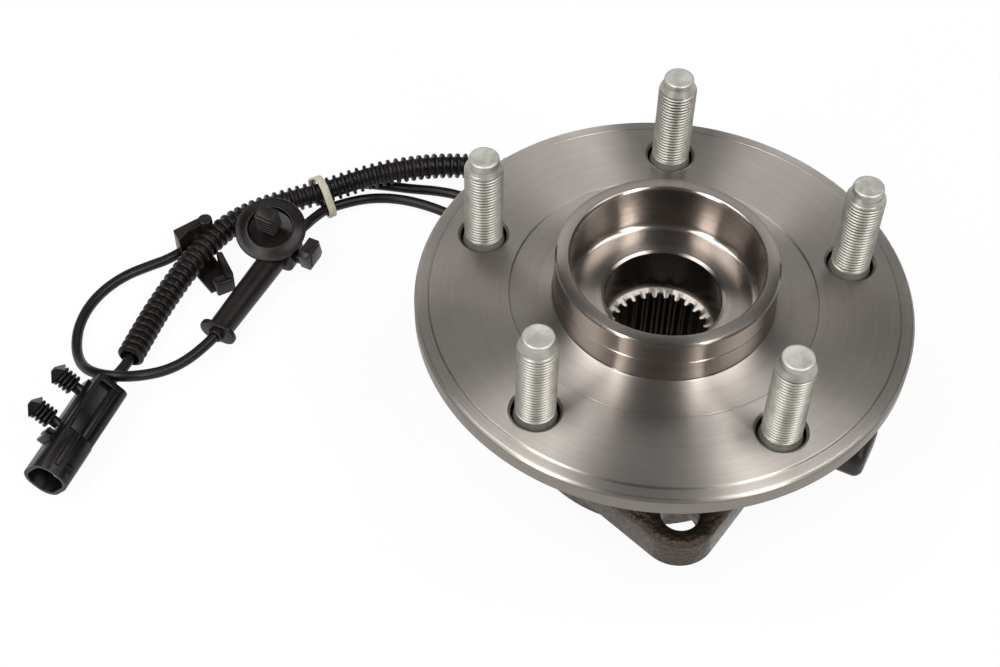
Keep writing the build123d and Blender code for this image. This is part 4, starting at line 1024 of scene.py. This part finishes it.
# %% Saddle and anchor
SADDLE_START, SADDLE_END = -1.2, 7.6
saddle_ring = prism("saddle_ring", rounded(15.2, 11.4, 3.8), SADDLE_START, SADDLE_END, 0.6)
saddle_strap = prism(
    "saddle_strap", rounded(16.0, 5.0, 1.6), SADDLE_START + 2.2, SADDLE_END - 2.2, 0.4
)
for part in (saddle_ring, saddle_strap):
    stand(part, sleeve_start, sleeve_axis, sleeve_across)
saddle_middle = sleeve_start + sleeve_axis * (SADDLE_START + SADDLE_END) / 2
neck = prism("anchor_neck", rounded(5.08, 5.08, 2.5), 6.8, 11.2)
stand(neck, saddle_middle, sleeve_across, sleeve_axis)
anchor_outline = [(-3.8, -4.6), (3.8, -4.6), (5.3, -3.1), (3.8, 4.6), (-3.8, 4.6), (-5.3, 3.1)]
anchor = prism("anchor", anchor_outline, 10.9, 15.2, 0.35)
rib_outline = [(-2.9, -3.6), (2.9, -3.6), (2.9, 3.6), (-2.9, 3.6)]
anchor_rib = prism("anchor_rib", rib_outline, 10.4, 15.6, 0.3)
for part in (anchor, anchor_rib):
    stand(part, saddle_middle + Vector((0, 0, 4.0)), sleeve_across, sleeve_axis)

# %% [markdown]
# The umbrella disc presses on the body to seal its hole. It is a shallow cone with a thin
# rolled edge and a round well, and out of the well stands the prong that snaps into the hole:
# a flat post with a ladder of barbs.

# %% Disc and prong
disc_centre = Vector((-131.79, 85.28, -50.63))
disc_axis = Vector((-0.036, -0.293, 0.955)).normalized()
stem = lathe("disc_stem", [(0.5, -6.2), (2.73, -6.2), (2.73, -2.5), (0.5, -2.5), (0.5, -6.2)], 32)
stand(stem, disc_centre, disc_axis, sleeve_across)
saddle = moulded("saddle", [saddle_ring, saddle_strap, neck, anchor, anchor_rib, stem], clip_nylon,
                 "clip_saddle")
umbrella = lathe(
    "umbrella",
    [(0.3, -2.15), (7.6, -2.15), (8.1, -1.98), (8.3, -1.6), (8.3, 0.1), (8.42, 0.35), (8.75, 0.42),
     (9.3, 0.25), (11.0, -0.5), (12.8, -1.2), (13.12, -1.16), (13.27, -1.4), (13.2, -1.8),
     (12.9, -1.92), (10.0, -1.32), (9.57, -1.3), (9.57, -2.8), (9.4, -2.93), (0.3, -2.93),
     (0.3, -2.15)],
    96,
)
prong_parts = [prism("prong", rounded(6.6, 4.6, 0.6), -2.3, 12.4, 0.4)]
RUNGS, TOP_RUNG, RUNG_PITCH = 5, 11.4, 2.3
for rung in range(RUNGS):
    top = TOP_RUNG - RUNG_PITCH * rung
    prong_parts.append(prism(f"rung_{rung}", rounded(7.4, 6.4, 0.7), top - 1.1, top, 0.3))
for part in [umbrella, *prong_parts]:
    stand(part, disc_centre, disc_axis, sleeve_across)
disc = moulded("umbrella_disc", [umbrella, *prong_parts], clip_nylon, "clip_disc")

# %% [markdown]
# The routing clip holds the conduit and the lead side by side: a post with a channel on the
# far side, a strip underneath, and an arm with a foot on the near side. Its outlines lie on
# the floor plane.

# %% Routing clip
floor_z = floor_height / MM + FLOOR_GAP
post = [(-168.83, 91.53), (-158.6, 98.0), (-157.9, 97.2), (-158.78, 95.63), (-162.98, 90.55),
        (-166.3, 86.06)]
post_foot = [(-168.83, 91.53), (-166.9, 92.7), (-164.3, 88.7), (-166.3, 86.06)]
back = [(-168.2, 91.9), (-159.2, 97.8), (-157.6, 95.2), (-165.6, 88.4)]
strip = [(-166.49, 86.75), (-159.17, 96.21), (-147.46, 73.57), (-155.27, 69.67)]
arm = [(-152.92, 82.36), (-150.58, 82.36), (-146.09, 71.23), (-148.83, 70.84)]
foot = [(-154.3, 71.9), (-152.6, 67.8), (-145.9, 70.7), (-147.8, 74.6)]
clip_parts = [
    prism("clip_post", post, 5.2, 12.6, 0.4),
    prism("clip_post_foot", post_foot, 0.0, 6.0, 0.3),
    prism("clip_lobe", shifted(rounded(5.4, 5.4, 2.6), -157.0, 96.2), 4.6, 13.0, 0.6),
    prism("clip_back", back, 4.2, 12.0, 0.4),
    prism("clip_strip", strip, 0.0, 1.37, 0.2),
    prism("clip_arm", arm, 0.4, 9.27, 0.35),
    prism("clip_foot", foot, 0.0, 6.6, 0.7),
]
for part in clip_parts:
    stand(part, (0, 0, floor_z), (0, 0, 1), (1, 0, 0))
routing = moulded("routing", clip_parts, clip_nylon, "routing_clip")

# %% [markdown]
# The cable tie is a thin nylon band pulled tight over the conduit and the lead on each side of
# it. Its line is the hull of the three round sections, and Solidify gives it its thickness.

# %% Cable tie
TIE_WIDTH, TIE_THICKNESS, LEAD_ASIDE, LEAD_DROP = 3.0, 1.0, 6.64, 2.83
OVER_CONDUIT, OVER_LEAD, ROUND_STEPS = 5.6, 2.75, 40
rounds = [(0, 0, OVER_CONDUIT)]
rounds += [(side * LEAD_ASIDE, -LEAD_DROP, OVER_LEAD) for side in (1, -1)]
samples = []
for centre_x, centre_y, reach in rounds:
    for step in range(ROUND_STEPS):
        angle = 2 * pi * step / ROUND_STEPS
        samples.append((centre_x + reach * cos(angle), centre_y + reach * sin(angle)))


def half_hull(points):
    """One half of the convex hull of sorted points."""
    chain = []
    for point in points:
        while len(chain) > 1:
            (ax, ay), (bx, by) = chain[-2:]
            if (bx - ax) * (point[1] - ay) - (by - ay) * (point[0] - ax) > 0:
                break
            chain.pop()
        chain.append(point)
    return chain[:-1]


samples.sort()
band_line = half_hull(samples) + half_hull(samples[::-1])
tie = prism("tie_band", band_line, -TIE_WIDTH / 2, TIE_WIDTH / 2, fill="NOTHING")
modify(tie, "wall", "SOLIDIFY", thickness=TIE_THICKNESS * MM, offset=1.0)
break_edges(tie, 0.28, 3, 50)
apply_all(tie)
tie_axis = Vector((-0.9135, -0.4067, 0)).normalized()
stand(tie, (-113.01, 113.2, -61.66), tie_axis, (-tie_axis.y, tie_axis.x, 0))
tie = moulded("tie_band", [tie], tie_nylon, "cable_tie", 30)

# %% [markdown]
# The connector lies on its side, rolled by fifty degrees, so that its locking face looks up
# at the camera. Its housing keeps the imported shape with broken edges, and gets a ridge, a
# guide strip, a crossbar and a keeper, each a small rounded bar along the housing.

# %% Connector
connector_rear = Vector((-189.4, 20.3, -59.9))
connector_axis = Vector((-0.431, -0.902, 0)).normalized()
CONNECTOR_ROLL = radians(50)
connector_level = Vector((connector_axis.y, -connector_axis.x, 0))
connector_side = connector_level * sin(CONNECTOR_ROLL) + Vector((0, 0, cos(CONNECTOR_ROLL)))
housing = dress("connector_housing", "knuckle_side", connector_nylon, 30, 0.3)
details = [
    prism("connector_ridge", shifted(rounded(2.3, 2.4, 0.6), -1.3, -7.2), 3.2, 24.4, 0.2),
    prism("connector_guide", shifted(rounded(2.3, 2.2, 0.6), 1.4, -8.2), 24.6, 38.6, 0.25),
    prism("connector_crossbar", shifted(rounded(7.6, 1.4, 0.4), 0.9, -7.4), 1.2, 2.6, 0.2),
    prism("connector_keeper", shifted(rounded(4.6, 1.2, 0.4), 2.4, -7.2), 16.0, 24.0, 0.2),
]
for part in details:
    stand(part, connector_rear, connector_axis, connector_side)
trim = moulded("connector_trim", details, connector_nylon, None)
seal = dress("connector_seal", "knuckle_side", seal_rubber)
pins = dress("connector_pins", "knuckle_side", screw_zinc)

# %% [markdown]
# Two fir trees hold the connector to a panel. Each is a stalk with four soft barbs, turned on
# the lathe, and a four-sided arrow tip, which is the same lathe with four steps.

# %% Fir trees
TREE_PLACES, TREE_START, TREE_LENGTH = (6.8, 22.1), 9.4, 9.9
tree_profile = [(0.2, -2.2), (1.95, -2.2), (1.95, 0.0), (1.7, 0.4)]
barb_line = [(2.3, 0.0), (3.5, 0.2), (3.75, 0.55), (3.6, 1.0), (2.5, 1.35)]
BARBS, FIRST_BARB, BARB_PITCH = 4, 0.5, 1.65
for barb in range(BARBS):
    low = FIRST_BARB + BARB_PITCH * barb
    tree_profile += [(reach, low + height) for reach, height in barb_line]
tree_profile += [(1.8, 7.2), (0.2, 7.3), (0.2, -2.2)]
tip_profile = [(0.05, 6.9), (4.3, 6.9), (4.5, 7.5), (1.2, 9.9), (0.05, TREE_LENGTH), (0.05, 6.9)]
tree_parts = []
for place in TREE_PLACES:
    barbs = lathe("tree_barbs", tree_profile, 32)
    tip = lathe("tree_tip", tip_profile, 4)
    tree_base = connector_rear + connector_axis * place + connector_side * TREE_START
    for part in (barbs, tip):
        stand(part, tree_base, connector_side, connector_axis)
        tree_parts.append(part)
trees = moulded(
    "fir_trees", tree_parts, connector_nylon, "connector_clips", 40
)
